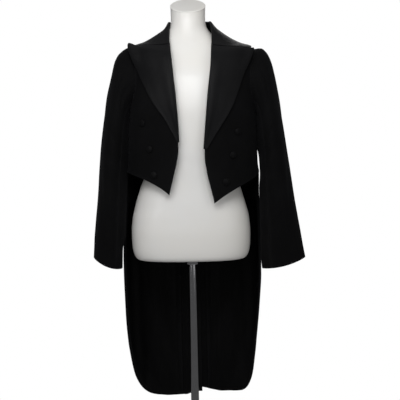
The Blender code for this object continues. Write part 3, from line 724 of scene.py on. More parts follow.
def make_forepart(side):
    """One front, from its edge to the side seam, with a cloth facing and hem inside it and satin beyond."""
    own = SIDES[side]
    name = own["name"]

    def surface(share, row, depth):
        height = body_height(side, row, SIDE_SEAM)
        outer = side_edge(side, row, height, SIDE_SEAM, 8.0)
        drop = own["point_drop"] * (1 - share) ** own["hem_curve"]
        height -= drop * (1 - smooth_step(own["waist"], ARMHOLE_LOW, height))
        inner = front_edge_angle(side, height)
        return coat_offset(side, between(inner, outer, share), height, -depth * cloth())

    def faced(share, row):
        return share > FACING_SHARE and row > HEM_ROWS

    rows = range(len(BODY_ROWS))
    piece = wall(f"{name}_forepart", surface, edged(0, 1, 46, 0.004), rows, ["wool", "satin"], faced)
    lay_sheet(f"forepart_{name}", (0.24, 0.47), 0.073)


def make_sidebody(side):
    """The narrow panel under the arm."""
    name = SIDES[side]["name"]

    def surface(share, row, depth):
        front_height = body_height(side, row, SIDE_SEAM)
        back_height = body_height(side, row, PLEAT)
        inner = side_edge(side, row, front_height, SIDE_SEAM, 172.0)
        outer = back_seam(side, back_height, -1)
        angle = between(inner, outer, share)
        height = between(front_height, back_height, smooth_step(SIDE_SEAM, PLEAT, angle))
        return coat_offset(side, angle, height, -depth * cloth())

    def faced(share, row):
        return row > HEM_ROWS

    rows = range(SIDEBODY_ROWS + 1)
    piece = wall(f"{name}_sidebody", surface, edged(0, 1, 36, 0.005), rows, ["wool", "satin"], faced)
    lay_sheet(f"sidebody_{name}", (0.19, 0.25), 0.038)


def tail_heights(side, top, near_top):
    """The rows of a tail, from its hem to top."""
    hem = SIDES[side]["hem"]
    low = [hem + rise for rise in (0, 0.7, 2, 4, 7, 11, 15, 20, 26, 32, 38, 45, 52, 59, 66)]
    return low + stops(hem + HEM_BAND, top, 92) + [top - near_top, top]


def hem_rise(side, angle, height):
    """How much higher the hem hangs towards the vent, easing away above it, with a slight unevenness."""
    rise = 9 * smooth_step(168, 182, angle) if side < 0 else 10 * smooth_step(150, 176, angle)
    rise += 1.3 * noise.noise(Vector((side * angle * 0.09, 2.3, 0.0)))
    return rise * smooth_step(SIDES[side]["hem"] + HEM_BAND, SIDES[side]["hem"], height)


def make_back(side):
    """The back runs from the neck to the hem, and below the waist it laps over the skirt and its fellow."""
    name = SIDES[side]["name"]
    waist = SIDES[side]["back_waist"]
    tail = tail_heights(side, waist - LAP_LOW, 1.0) + [waist - 16, waist - 14, waist - LAP_HIGH]
    first_body = len(tail)

    def surface(share, row, depth):
        if row < first_body:
            height = tail[row]
            lapped = 1 - smooth_step(waist - LAP_LOW, waist - LAP_HIGH, height)
            angle = between(PLEAT, 180 + between(-seam_gap(side, 180, height), VENT_LAP, lapped), share)
            under = 0.0
            if side < 0:
                under = (cloth() + LAY_GAP) * smooth_step(PLEAT + PLEAT_LAP, PLEAT + 2 * PLEAT_LAP, angle)
            offset = -under * lapped - depth * cloth()
            return coat_offset(side, angle, height + hem_rise(side, angle, height), offset)
        row -= first_body
        height = body_height(side, row, 180)
        if row <= SIDEBODY_ROWS:
            outer = back_seam(side, height, 1)
        else:
            outer = side_edge(side, row, height, SHOULDER_SEAM, 172.0)
        centre = 180 - seam_gap(side, 180, height)
        return coat_offset(side, between(outer, centre, share), height, -depth * cloth())

    def faced(share, row):
        return row > first_body

    rows = range(first_body + len(BODY_ROWS))
    piece = wall(f"{name}_back", surface, edged(0, 1, 30, 0.008), rows, ["wool", "satin"], faced)
    lay_sheet(f"back_{name}", (0.20, 1.05), 0.088)


def make_skirt(side):
    """A tail's outer panel, its back edge under the back strip, and the satin inside it."""
    own = SIDES[side]
    name = own["name"]
    heights = tail_heights(side, own["waist"], 0.7)

    @functools.cache
    def front_angle(height):
        edge_x = TAIL_EDGE[side].at(height - heights[0], "share") * COAT.at(height, "half_width")
        centre = COAT.at(height, "centre_x")
        return root(lambda angle: edge_x - side * (coat_point(side, angle, height).x - centre), 90.0, 178.0)

    def place(share, height, offset):
        angle = between(max(front_angle(height), SIDE_SEAM), PLEAT + PLEAT_LAP, share)
        under = (cloth() + LAY_GAP) * smooth_step(PLEAT - 6, PLEAT - 1, angle)
        seam_slope = (waist_at(side, angle) - own["waist"]) * smooth_step(0, heights[-1], height)
        gap = SEAM_GAP * (height == heights[-1])
        placed = height + hem_rise(side, angle, height) + seam_slope - gap
        return coat_offset(side, angle, placed, offset - under)

    def wool(share, height, depth):
        return place(share, height, -depth * cloth())

    piece = wall(f"{name}_skirt", wool, edged(0, 1, 56, 0.004), heights, ["wool"])
    lay_sheet(f"skirt_{name}", (0.27, 0.64), 0.122)

    def satin(share, height, depth):
        inward = between(1 / 12, 11 / 12, share)
        return place(inward, height, -cloth() - SEAM_GAP - depth * settings().lining_wall / MM)

    top = between(own["hem"] + HEM_BAND, own["waist"], 6 / 7)
    lined = [height for height in heights if heights[3] <= height <= top - 2] + [top - SOFT_EDGE, top]
    piece = wall(f"{name}_tail_lining", satin, edged(0, 1, 50, 0.004), lined, ["satin"])
    lay_sheet(f"tail_lining_{name}", (0.21, 0.56), 0.090)


# A leaf's section across its fold: how far each point lies from the fold, and its height over the panel.
TURN = 3  # the last step of both tables, where the leaf lies flat
TURN_STEPS = 15
LEAF_OUTSIDE = Table(
    "step away over",
    (0, -3.1, -2.0),
    (1, -3.5, 0.4),
    (2, -2.4, 2.9),
    (TURN, 0.6, LAY_GAP + LEAF + 0.3),
)
LEAF_INSIDE = Table(
    "step away over",
    (0, -0.9, -2.0),
    (1, -0.9, -0.2),
    (2, -0.6, 0.9),
    (TURN, 0.6, LAY_GAP + 0.3),
)


def leaf(name, rows, place, lift, steps):
    """A silk leaf turned over where place(row, 0) is and lying on the coat out to place(row, 1)."""

    @functools.cache
    def first_share(row):
        width = (coat_point(*place(row, 1.0)) - coat_point(*place(row, 0.0))).length
        return min(0.25, FOLD_REACH / width)

    def surface(step, row, depth):
        if step <= 0:
            point, out = coat_frame(*place(row, 0.0))
            ahead = coat_point(*place(row, 0.05)) - coat_point(*place(row, 0.0))
            along = (ahead - out * ahead.dot(out)).normalized()
            turned = step + TURN
            away = between(LEAF_OUTSIDE.at(turned, "away"), LEAF_INSIDE.at(turned, "away"), depth)
            over = between(LEAF_OUTSIDE.at(turned, "over"), LEAF_INSIDE.at(turned, "over"), depth)
            return point + along * away + out * over
        share = between(first_share(row), 1.0, step)
        return coat_offset(*place(row, share), LAY_GAP + (1 - depth) * LEAF + lift(row, share))

    turn = [-TURN, 0.07 - TURN] + [TURN * i / TURN_STEPS - TURN for i in range(1, TURN_STEPS + 1)]
    across = turn + [i / steps for i in range(1, steps)] + [1 - 0.35 / steps, 1]
    return wall(name, surface, across, rows, ["silk"])


def collar_corner(side):
    return place_seen(side, *COLLAR_CORNER[side])


def make_lapel(side):
    """The silk leaf of a peak lapel, from its foot to the gorge and the peak's tip."""
    name = SIDES[side]["name"]
    foot, tip = LAPEL_EDGE[side].keys[0], LAPEL_EDGE[side].keys[-1]
    gorge = front_edge_angle(side, GORGE), GORGE
    corner = collar_corner(side)
    peak = place_seen(side, LAPEL_EDGE[side].at(tip, "x"), tip)
    corner_share = 0.86

    def place(row, share):
        """Straight rows, but for the top ones, which bend to run along the gorge and then up the peak."""
        height = between(foot, GORGE, row)
        z = between(foot, tip, row)
        start = front_edge_angle(side, height), height
        end = place_seen(side, LAPEL_EDGE[side].at(z, "x"), z)
        bend = row**5 * min(share / corner_share, (1 - share) / (1 - corner_share))
        dip = [corner[i] - between(gorge[i], peak[i], corner_share) for i in range(2)]
        return side, *(between(start[i], end[i], share) + bend * dip[i] for i in range(2))

    def lift(row, share):
        """The leaf stands off a little more outwards, at its peak, and where it rolls above the foot."""
        peak_lift = PEAK_LIFT[side] * smooth_step(0.76, 1.0, share) * smooth_step(0.72, 1.0, row)
        roll = 2.6 * hump(share - 0.16, 0.17) * smooth_step(0, 0.05, share)
        roll *= smooth_step(0.02, 0.25, row) * smooth_step(1.0, 0.5, row)
        wave = 0.5 * noise.noise(Vector((row * 5.0, share * 2.0, side * 4.0))) * share
        free_edge = 1.2 * smooth_step(0.75, 1.0, share) * hump(row - 0.42, 0.22)
        return 0.4 + 1.2 * share + peak_lift + roll + wave + free_edge

    piece = leaf(f"{name}_lapel", edged(0.0, 1.0, 96, 0.002), place, lift, 44)
    node = f"lapel_facing_{name}"
    lay_sheet(node, (0.14, 0.30), 0.0245)


def make_collar():
    """The collar's leaf, from one gorge round the neck to the other, and the stand that carries it."""
    front_rows, back_rows = 8, 9
    rows = 2 * (front_rows + back_rows)
    above = 1.2  # how far over the gorge the leaf begins

    def place(row, share):
        """Rows that fan out along each gorge, and then run straight round the neck."""
        side = -1 if row <= rows // 2 else 1
        step = min(row, rows - row)
        gorge = front_edge_angle(side, GORGE), GORGE
        corner = collar_corner(side)
        if step <= front_rows:
            height = between(GORGE + 2 * above, COLLAR_FOLD, step / front_rows)
            start = front_edge_angle(side, height), height
            along = between(0.08, 1.0, step / front_rows)
            end = between(gorge[0], corner[0], along), between(gorge[1], corner[1], along) + above
        else:
            along = (step - front_rows) / back_rows
            start = between(front_edge_angle(side, COLLAR_FOLD), 180, along), COLLAR_FOLD
            angle = between(corner[0], 180, along)
            free = smooth_step(0, 2, step - front_rows)
            end = angle, between(corner[1] + above, COLLAR_EDGE.at(angle, "height"), free)
        return side, between(start[0], end[0], share), between(start[1], end[1], share)

    def lift(row, share):
        return 0.5 + 1.1 * share + 0.3 * noise.noise(Vector((row * 0.3, share * 2.0, 1.0))) * share

    piece = leaf("collar_fall", edged(0.0, rows, 170, 0.02), place, lift, 34)
    lay_sheet("collar_leaf", (0.40, 0.13), 0.0326)

    def stand(share, rise, depth):
        height = between(NECK_SEAM + SEAM_GAP, COLLAR_FOLD - 0.6, rise)
        side = -1 if share <= 0.5 else 1
        front = front_edge_angle(side, height) + 3.0
        return coat_offset(side, between(180, front, abs(2 * share - 1)), height, -depth * cloth())

    piece = wall("collar_band", stand, edged(0, 1, 110, 0.004), edged(0, 1, 8, 0.03), ["wool"])
    lay_sheet("collar_stand", (0.27, 0.028), 0.0052)


@functools.cache
def armhole_x(side, angle):
    """How far out the coat's face lies at a point of the armhole's edge."""
    turn = math.radians(angle)
    y = ARMHOLE_Y - math.sin(turn) * ARMHOLE_HALF_DEPTH
    z = ARMHOLE_FOOT + (1 + math.cos(turn)) * ARMHOLE_HALF_HEIGHT[side]

    def angle_on(height):
        return root(lambda place: coat_point(side, place, height).y - y, 20.0, 160.0)

    height = root(lambda h: coat_point(side, angle_on(h), h).z - z, 380.0, 640.0, halvings=20)
    out = coat_normal(side, angle_on(height), height)
    return side * (coat_point(side, angle_on(height), height) + out * SLEEVE_LIFT).x


SLEEVE_COLUMNS = "outer_x outer_z inner_x inner_z front_y back_y".split()


@functools.cache
def armhole_shape(side):
    """armhole_x in steps round the armhole."""
    return Table("angle x", *[(angle, armhole_x(side, angle)) for angle in range(-120, 264, 6)])


@functools.cache
def sleeve_ring(side, place):
    return [SLEEVES[side].at(place, name) for name in SLEEVE_COLUMNS]


# Where a sleeve's inner side leans on the body: how far, and the rings between which it begins and ends.
LEANING = {
    -1: ((5.0, 0.6, 1.8, 5.0, 6.2), (8.0, 4.6, 6.0, 8.3, 9.0)),
    1: ((5.0, 0.6, 1.8, 4.65, 5.35), (4.5, 6.05, 6.7, 9.6, 10.4)),
}


def sleeve_push(side, angle, place):
    """How far a sleeve's cloth stands out of its plain form, by its full head, its creases and chance."""
    turn = math.radians(angle)
    push = 0.0
    for turned in (angle - 360, angle, angle + 360):
        push += pressed(SLEEVE_RUNS[side], turned * DEGREE_OF_SLEEVE, place * SLEEVE_STEP)
    push += 0.9 * noise.noise(Vector((math.cos(turn), math.sin(turn), place * 0.7 + side * 5.0)))
    push += 0.4 * noise.noise(Vector((3 * math.cos(turn), 3 * math.sin(turn), place * 2.1 + side * 9.0)))
    crown = (1.6 - 0.9 * side) * hump(place - 0.6, 0.45) * smooth_step(-0.1, 0.8, math.cos(turn))
    push *= 1 - 0.9 * hump(angle - 180, 55)
    push *= settings().crease_depth
    return (push + crown) * smooth_step(0.0, 0.6, place)


@functools.lru_cache(maxsize=16384)
def sleeve_face(side, angle, place):
    """A sleeve's plain form. Its angle runs from the outermost point (0) by the front to under the arm."""
    outer_x, outer_z, inner_x, inner_z, front_y, back_y = sleeve_ring(side, place)
    turn = math.radians(angle)
    share = (1 + math.cos(turn)) / 2
    x = between(inner_x, outer_x, share)
    if place < 4:
        first = sleeve_ring(side, 0.0)
        straight = between(first[2], first[0], share)
        x += ARMHOLE_SHARE.at(place, "share") * (armhole_shape(side).at(angle, "x") - straight)
    y = (front_y + back_y) / 2 - (back_y - front_y) / 2 * math.sin(turn)
    return Vector((x * side, y, between(inner_z, outer_z, share)))


@functools.lru_cache(maxsize=4096)
def sleeve_frame(side, angle, place):
    """A point on a sleeve's face with its creases, and the inward direction there."""
    across = sleeve_face(side, angle + 1, place) - sleeve_face(side, angle - 1, place)
    along = sleeve_face(side, angle, min(place + 0.1, CUFF)) - sleeve_face(side, angle, max(place - 0.1, 0.0))
    inward = along.cross(across).normalized() * side
    point = sleeve_face(side, angle, place) - inward * sleeve_push(side, angle, place)
    near = hump(angle - LEANING_ANGLE, LEANING_WIDTH)
    for amount, begin, full, wane, end in LEANING[side]:
        point.x -= side * amount * near * smooth_step(begin, full, place) * smooth_step(end, wane, place)
    point.z -= CUFF_BOW * math.sin(math.radians(angle)) ** 2 * smooth_step(8.4, CUFF, place)
    point.z -= ARMPIT_LAP * hump(angle - 180, 45) * smooth_step(1.0, 0.0, place)
    return point, inward


def sleeve_point(side, angle, place, inset):
    point, inward = sleeve_frame(side, angle, place)
    return point + inward * inset


def make_sleeve(side):
    """A topsleeve and an undersleeve, lined in satin down to a turned-up hem of cloth."""
    name = SIDES[side]["name"]
    rim = 0.012
    places = [0.0, rim] + [CUFF * (i / 124) ** 1.18 for i in range(1, 124)] + [CUFF - rim, CUFF]

    def half(part, first, last, columns, flat, area):
        first, last = first + SLEEVE_SEAM, last - SLEEVE_SEAM
        across = edged(0, 1, columns, 0.5 / (abs(last - first) * DEGREE_OF_SLEEVE))

        def surface(share, place, depth):
            return sleeve_point(side, between(first, last, share), place, depth * cloth())

        def faced(share, place):
            return place < SLEEVE_HEM

        piece = wall(f"{name}_{part}", surface, across, places, ["wool", "satin"], faced)
        lay_sheet(f"{part}_{name}", flat, area)

    half("topsleeve", HINDARM_SEAM - 360, FOREARM_SEAM, 84, (0.26, 0.62), 0.128)
    half("undersleeve", FOREARM_SEAM, HINDARM_SEAM, 42, (0.15, 0.50), 0.055)


def lathe(mesh, profile, segments, place=Matrix()):
    """Turns (radius, height) points round the vertical, first and last of them on the axis."""
    verts = [mesh.verts.new((radius, 0, height)) for radius, height in profile]
    edges = [mesh.edges.new(pair) for pair in zip(verts, verts[1:])]
    bmesh.ops.spin(
        mesh,
        geom=verts + edges,
        cent=(0, 0, 0),
        axis=(0, 0, 1),
        angle=2 * math.pi,
        steps=segments,
        use_merge=True,
    )
    bmesh.ops.remove_doubles(mesh, verts=mesh.verts, dist=0.001)
    bmesh.ops.transform(mesh, matrix=place, verts=mesh.verts)


# A covered button's section: a flat back, a turned-in edge, and a low dome with a shallow press at its rim.
BUTTON = (
    (0, 0.4), (3.6, 0.4), (6.8, 0.7), (8.3, 1.3), (8.9, 2.0), (9.0, 2.7), (8.7, 3.4), (8.1, 3.85),
    (7.5, 3.95), (6.9, 3.95), (6.2, 4.15), (5.0, 4.5), (3.4, 4.8), (1.7, 4.95), (0, 5.0),
)


def make_buttons(side):
    """The covered buttons of one front, each set square on the cloth."""
    name = SIDES[side]["name"]
    for number, (x, z) in enumerate(FRONT_BUTTONS[side], 1):
        point, out = coat_frame(side, *place_seen(side, x, z))
        turn = Vector((0, 0, 1)).rotation_difference(out).to_matrix().to_4x4()
        mesh = bmesh.new()
        lathe(mesh, BUTTON, 40, Matrix.Translation(point) @ turn)
        piece = to_object(mesh, f"{name}_covered_button_{number}", ["silk_button"])
        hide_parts(f"front_button_{name}_{number}")


FORM_SEGMENTS = 128
FORM_LEAN = -2.5  # how far the form's hips stand towards the wearer's right

# The neck lid's section: how far each ring stands out of the neck, and how far it is raised.
LID = ((0.2, 0.3), (0.6, 0.5), (0.9, 1.0), (0.9, 2.2), (0.6, 3.0), (-0.2, 3.6), (-1.4, 3.9), (-3.0, 4.0))


def form_point(turn, z, grow, slant):
    """A point of the form's ring at z, moved out by grow and slid up a plane that slants to the front."""
    row = {name: FORM.at(z, name) for name in FORM.values}
    sine, cosine = math.sin(turn), math.cos(turn)
    depth, power = row["front"] if cosine > 0 else row["back"], row["power"]
    radius = (abs(sine / row["half_width"]) ** power + abs(cosine / depth) ** power) ** (-1 / power) + grow
    lean = FORM_LEAN * (1 - smooth_step(180, 290, z))
    return Vector((radius * sine + lean, -radius * cosine, z - radius * cosine * math.tan(slant)))


def ringed(name, rings, dome=0.0):
    """A closed skin over rings of the form, with filled ends, the upper one raised in its middle by dome.

    A ring is given by its height, how far it stands out, its slant and how far it is raised.
    """
    rows = len(rings) - 1
    mesh = bmesh.new()
    bmesh.ops.create_grid(mesh, x_segments=FORM_SEGMENTS, y_segments=rows, size=0.5)
    for vert in mesh.verts:
        z, grow, slant, rise = rings[round((vert.co.y + 0.5) * rows)]
        turn = (vert.co.x + 0.5) * 2 * math.pi
        vert.co = form_point(turn, z, grow, slant) + Vector((0, 0, rise))
    bmesh.ops.remove_doubles(mesh, verts=mesh.verts, dist=0.001)
    bmesh.ops.holes_fill(mesh, edges=[edge for edge in mesh.edges if edge.is_boundary], sides=0)
    for thickness in (2.0, 8.0, 14.0):
        caps = [face for face in mesh.faces if len(face.verts) > 4]
        bmesh.ops.inset_region(mesh, faces=caps, thickness=thickness)
    caps = [face for face in mesh.faces if len(face.verts) > 4]
    upper = max(caps, key=lambda face: face.calc_center_median().z)
    for vert in upper.verts:
        vert.co.z += dome
    return to_object(mesh, name, ["lacquer"], smooth_angle=50)


def make_form():
    """The lacquered torso, closed below and at its slanted neck, and the lid on the neck."""
    last_level = FORM.keys[-2]
    heights = [8, 8.4, 9.2, 10.5, 12.5, 15.5, 19, 23, 28, 34] + stops(39, 560, 110) + stops(560, NECK_TOP, 60)
    rings = []
    for z in heights + [NECK_TOP]:
        slant = math.atan(math.tan(NECK_SLANT) * max(z - last_level, 0) / (NECK_TOP - last_level))
        rings.append((z, 0.0, slant, 0.0))
    torso = ringed("torso", rings)
    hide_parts("form_torso")

    lid = ringed("neck_lid", [(NECK_TOP, grow, NECK_SLANT, rise) for grow, rise in LID], dome=0.5)
    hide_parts("form_neck_cap")


def make_stand():
    """The tube under the form, with the socket that holds it and a plain round foot, their rims eased."""
    floor = -DATUM
    foot_top = floor + FOOT_THICKNESS
    hub_top = foot_top + HUB_HEIGHT
    # Each part's radius, its lowest and highest point, and how wide its rims are eased.
    parts = {
        "socket": (SOCKET_RADIUS, -SOCKET_DROP, FORM.keys[0] - SEAM_GAP, 1.6),
        "tube": (ROD_RADIUS, hub_top + SEAM_GAP, -SOCKET_DROP - SEAM_GAP, 0.5),
        "hub": (HUB_RADIUS, foot_top + SEAM_GAP, hub_top, 3.0),
        "foot": (FOOT_RADIUS, floor, foot_top, 2.4),
    }
    for part, (radius, low, high, easing) in parts.items():
        mesh = bmesh.new()
        lathe(mesh, ((0, low), (radius, low), (radius, high), (0, high)), 96)
        rims = [edge for edge in mesh.edges if edge.is_manifold and edge.calc_face_angle(0) > RIM_ANGLE]
        bmesh.ops.bevel(
            mesh,
            geom=rims,
            offset=easing,
            offset_type="OFFSET",
            affect="EDGES",
            segments=5,
            profile=0.5,
            material=-1,
            clamp_overlap=True,
        )
        piece = to_object(mesh, f"chrome_{part}", ["chrome_plate"], smooth_angle=40)
        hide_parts(f"stand_{part}")


class Finish:
    """A node material, with short calls for the nodes that the finishes share."""

    def __init__(self, name):
        self.material = bpy.data.materials.new(name)
        self.material.use_nodes = True
        self.tree = self.material.node_tree
        self.shader = self.tree.nodes["Principled BSDF"]

    def node(self, kind, sockets=None, **options):
        made = self.tree.nodes.new("ShaderNode" + kind)
        for name, value in options.items():
            setattr(made, name, value)
        for name, value in (sockets or {}).items():
            self.feed(made.inputs[name], value)
        return made

    def feed(self, socket, value):
        if isinstance(value, bpy.types.NodeSocket):
            self.tree.links.new(value, socket)
        else:
            socket.default_value = value

    def shade(self, **sockets):
        """Sets the shader's sockets, named in lower case with underscores."""
        names = {socket.name.lower().replace(" ", "_"): socket for socket in self.shader.inputs}
        for name, value in sockets.items():
            self.feed(names[name], value)

    def threads(self):
        return self.node("UVMap", uv_map="thread_run").outputs["UV"]

    def solid(self):
        return self.node("TexCoord").outputs["Object"]

    def cloudy(self, vector, scale, detail=2.0, roughness=0.5):
        sockets = {"Vector": vector, "Scale": scale, "Detail": detail, "Roughness": roughness}
        return self.node("TexNoise", sockets).outputs["Fac"]

    def drawn_out(self, vector, scale, detail, roughness):
        """A cloudy pattern with a scale of its own along each axis."""
        mapped = self.node("Mapping", {"Vector": vector, "Scale": scale})
        return self.cloudy(mapped.outputs["Vector"], 1.0, detail, roughness)

    def ribs(self, vector, pitch, direction, distortion=0.0):
        """Soft bands, one for each pitch in metres."""
        sockets = {"Vector": vector, "Scale": math.pi / 10 / pitch, "Distortion": distortion}
        sockets["Detail Scale"] = 2.0
        return self.node("TexWave", sockets, bands_direction=direction).outputs["Fac"]

    def worked(self, operation, a, b):
        made = self.node("Math", operation=operation)
        self.feed(made.inputs[0], a)
        self.feed(made.inputs[1], b)
        return made.outputs[0]

    def ranged(self, value, low, high, from_low=0.0, from_high=1.0):
        sockets = {"Value": value, "From Min": from_low, "From Max": from_high, "To Min": low, "To Max": high}
        return self.node("MapRange", sockets).outputs["Result"]

    def mixed(self, factor, low, high):
        """A colour between two, each of them a tuple or another node's output."""
        made = self.node("Mix", data_type="RGBA")
        self.feed(made.inputs["Factor"], factor)
        for socket, colour in zip(made.inputs[6:8], (low, high)):
            self.feed(socket, (*colour, 1.0) if isinstance(colour, tuple) else colour)
        return made.outputs[2]

    def drifting(self, pattern, from_low, from_high, colour, darker, lighter):
        """The colour, darker and lighter by turns as the pattern goes."""
        factor = self.ranged(pattern, 0.0, 1.0, from_low, from_high)
        return self.mixed(factor, shade_of(colour, darker), shade_of(colour, lighter))

    def bumped(self, height, strength, distance, under=None):
        made = self.node("Bump", {"Height": height, "Strength": strength, "Distance": distance})
        if under:
            self.feed(made.inputs["Normal"], under)
        return made.outputs["Normal"]

    def near_edge(self):
        return self.node("Attribute", attribute_name="edge_wear").outputs["Fac"]


def shade_of(colour, factor):
    """The colour made lighter or darker by a factor."""
    return tuple(min(part * factor, 1.0) for part in colour)


def mix_wool():
    """Black barathea: a fine broken rib, a short nap, and edges left smoother by pressing, lighter by wear and
    by a painted sheen.
    """
    made = Finish("wool")
    own = settings()
    colour, pitch = tuple(own.cloth_colour), own.weave_pitch
    threads = made.threads()
    twill = made.ribs(threads, pitch, "DIAGONAL", 1.2)
    weave = made.worked("MULTIPLY", twill, made.ribs(threads, pitch * 0.8, "Y", 0.8))
    nap = made.cloudy(threads, 1400.0, 3.0, 0.65)
    drift = made.cloudy(threads, 7.0, 3.0, 0.55)
    patchy = made.drifting(drift, 0.32, 0.7, colour, 0.72, 1.3)
    flecked = made.mixed(made.ranged(nap, 0.0, 0.5, 0.6, 0.8), patchy, shade_of(colour, 2.1))
    # Lighter near the edges: partly real wear, partly a painted sheen standing in for pressing shine.
    wear_and_sheen = made.mixed(made.ranged(made.near_edge(), 0.0, 0.55), flecked, shade_of(colour, 2.2))
    surface = made.bumped(weave, 0.35, 0.00025)
    surface = made.bumped(nap, 0.2, 0.0004, surface)
    made.shade(
        base_color=wear_and_sheen,
        roughness=made.ranged(made.near_edge(), 0.82, 0.66),
        normal=surface,
        specular_ior_level=0.055,
        sheen_weight=0.02,
        sheen_roughness=0.45,
        sheen_tint=(0.75, 0.77, 0.85, 1.0),
    )


def mix_silk(name, pitch, glow, shade=1.0):
    """Ribbed silk: fine cords across the leaf, with slubs, and a soft light along them."""
    made = Finish(name)
    # A shade under 1 paints the silk darker; on the buttons this is painted shade.
    colour = shade_of(tuple(settings().silk_colour), shade)
    threads = made.threads()
    cords = made.ribs(threads, pitch, "Y", 0.6)
    filaments = made.drawn_out(threads, (2600.0, 260.0, 1.0), 2.0, 0.6)
    slubs = made.drawn_out(threads, (40.0, 700.0, 1.0), 2.0, 0.5)
    drift = made.cloudy(threads, 12.0, 3.0, 0.5)
    patchy = made.drifting(drift, 0.3, 0.7, colour, 0.8, 1.25)
    corded = made.mixed(made.ranged(cords, 0.0, 0.3), patchy, shade_of(colour, 1.7))
    # Lighter near the edges: partly real wear, partly a painted sheen.
    wear_and_sheen = made.mixed(made.ranged(made.near_edge(), 0.0, 0.4), corded, shade_of(colour, 1.9))
    surface = made.bumped(cords, 0.3, 0.00022)
    surface = made.bumped(slubs, 0.18, 0.0003, surface)
    made.shade(
        base_color=wear_and_sheen,
        roughness=made.ranged(filaments, 0.36, 0.52),
        normal=surface,
        specular_ior_level=glow,
        sheen_weight=0.008,
        sheen_roughness=0.3,
        sheen_tint=(0.8, 0.82, 0.9, 1.0),
    )


def mix_satin():
    """Black satin for the linings: long floats that shine, soft ripples with their shine and shade painted into
    the colour, and a darker ground.
    """
    made = Finish("satin")
    colour = tuple(settings().lining_colour)
    threads = made.threads()
    floats = made.drawn_out(threads, (3000.0, 180.0, 1.0), 2.0, 0.6)
    ripples = made.drawn_out(threads, (22.0, 5.0, 1.0), 2.0, 0.5)
    # Painted shine and shade: the colour is lighter and darker along the ripples.
    tone = made.drifting(ripples, 0.3, 0.7, colour, 0.7, 1.5)
    surface = made.bumped(ripples, 0.35, 0.004)
    surface = made.bumped(floats, 0.12, 0.0002, surface)
    made.shade(
        base_color=tone,
        roughness=made.ranged(floats, 0.3, 0.44),
        normal=surface,
        specular_ior_level=0.06,
    )


def mix_lacquer():
    """The form's white lacquer: glossy, a little uneven, with faint rubbing and a warm cast."""
    made = Finish("lacquer")
    colour = tuple(settings().form_colour)
    solid = made.solid()
    drift = made.cloudy(solid, 5.0, 3.0, 0.5)
    rubs = made.drawn_out(solid, (22.0, 22.0, 14.0), 4.0, 0.6)
    peel = made.cloudy(solid, 210.0, 1.0, 0.4)
    warm = tuple(part * tint for part, tint in zip(colour, (0.985, 0.97, 0.94)))
    tone = made.mixed(made.ranged(drift, 0.0, 1.0, 0.35, 0.65), warm, colour)
    rubbed = made.mixed(made.ranged(rubs, 0.0, 0.3, 0.62, 0.8), tone, shade_of(colour, 0.965))
    made.shade(
        base_color=rubbed,
        roughness=made.ranged(rubs, 0.36, 0.46, 0.35, 0.7),
        normal=made.bumped(peel, 0.02, 0.0004),
        specular_ior_level=0.45,
        coat_weight=0.12,
        coat_roughness=0.16,
    )


def mix_chrome():
    """Chrome plate, with a faint drawn grain along the tube and the haze that handling leaves."""
    made = Finish("chrome_plate")
    colour = tuple(settings().chrome_colour)
    solid = made.solid()
    haze = made.cloudy(solid, 28.0, 4.0, 0.6)
    grain = made.drawn_out(solid, (900.0, 900.0, 9.0), 2.0, 0.5)
    made.shade(
        base_color=made.drifting(haze, 0.3, 0.75, colour, 1.0, 0.86),
        metallic=1.0,
        roughness=made.ranged(haze, 0.07, 0.2, 0.35, 0.75),
        normal=made.bumped(grain, 0.05, 0.0002),
    )


def mix_floor():
    """The floor's pale matt paint."""
    made = Finish("pale_floor")
    tone = made.ranged(made.cloudy(made.solid(), 1.3, 2.0, 0.5), 0.0, 1.0, 0.3, 0.7)
    made.shade(base_color=made.mixed(tone, (0.80, 0.80, 0.80), (0.83, 0.83, 0.83)), roughness=0.9)
    made.shade(specular_ior_level=0.1)


def add_softbox(name, place, target, power, width, depth, spread):
    """A rectangular lamp at place that shines at target."""
    lamp = bpy.data.lights.new(name, "AREA")
    lamp.shape = "RECTANGLE"
    lamp.energy = power
    lamp.size = width
    lamp.size_y = depth
    lamp.spread = math.radians(spread)
    made = bpy.data.objects.new(name, lamp)
    made.matrix_world = aimed(place, target)
    bpy.context.scene.collection.objects.link(made)


def aimed(place, target):
    """A matrix at place that looks at target."""
    place, target = Vector(place), Vector(target)
    return Matrix.Translation(place) @ (place - target).to_track_quat("Z", "Y").to_matrix().to_4x4()


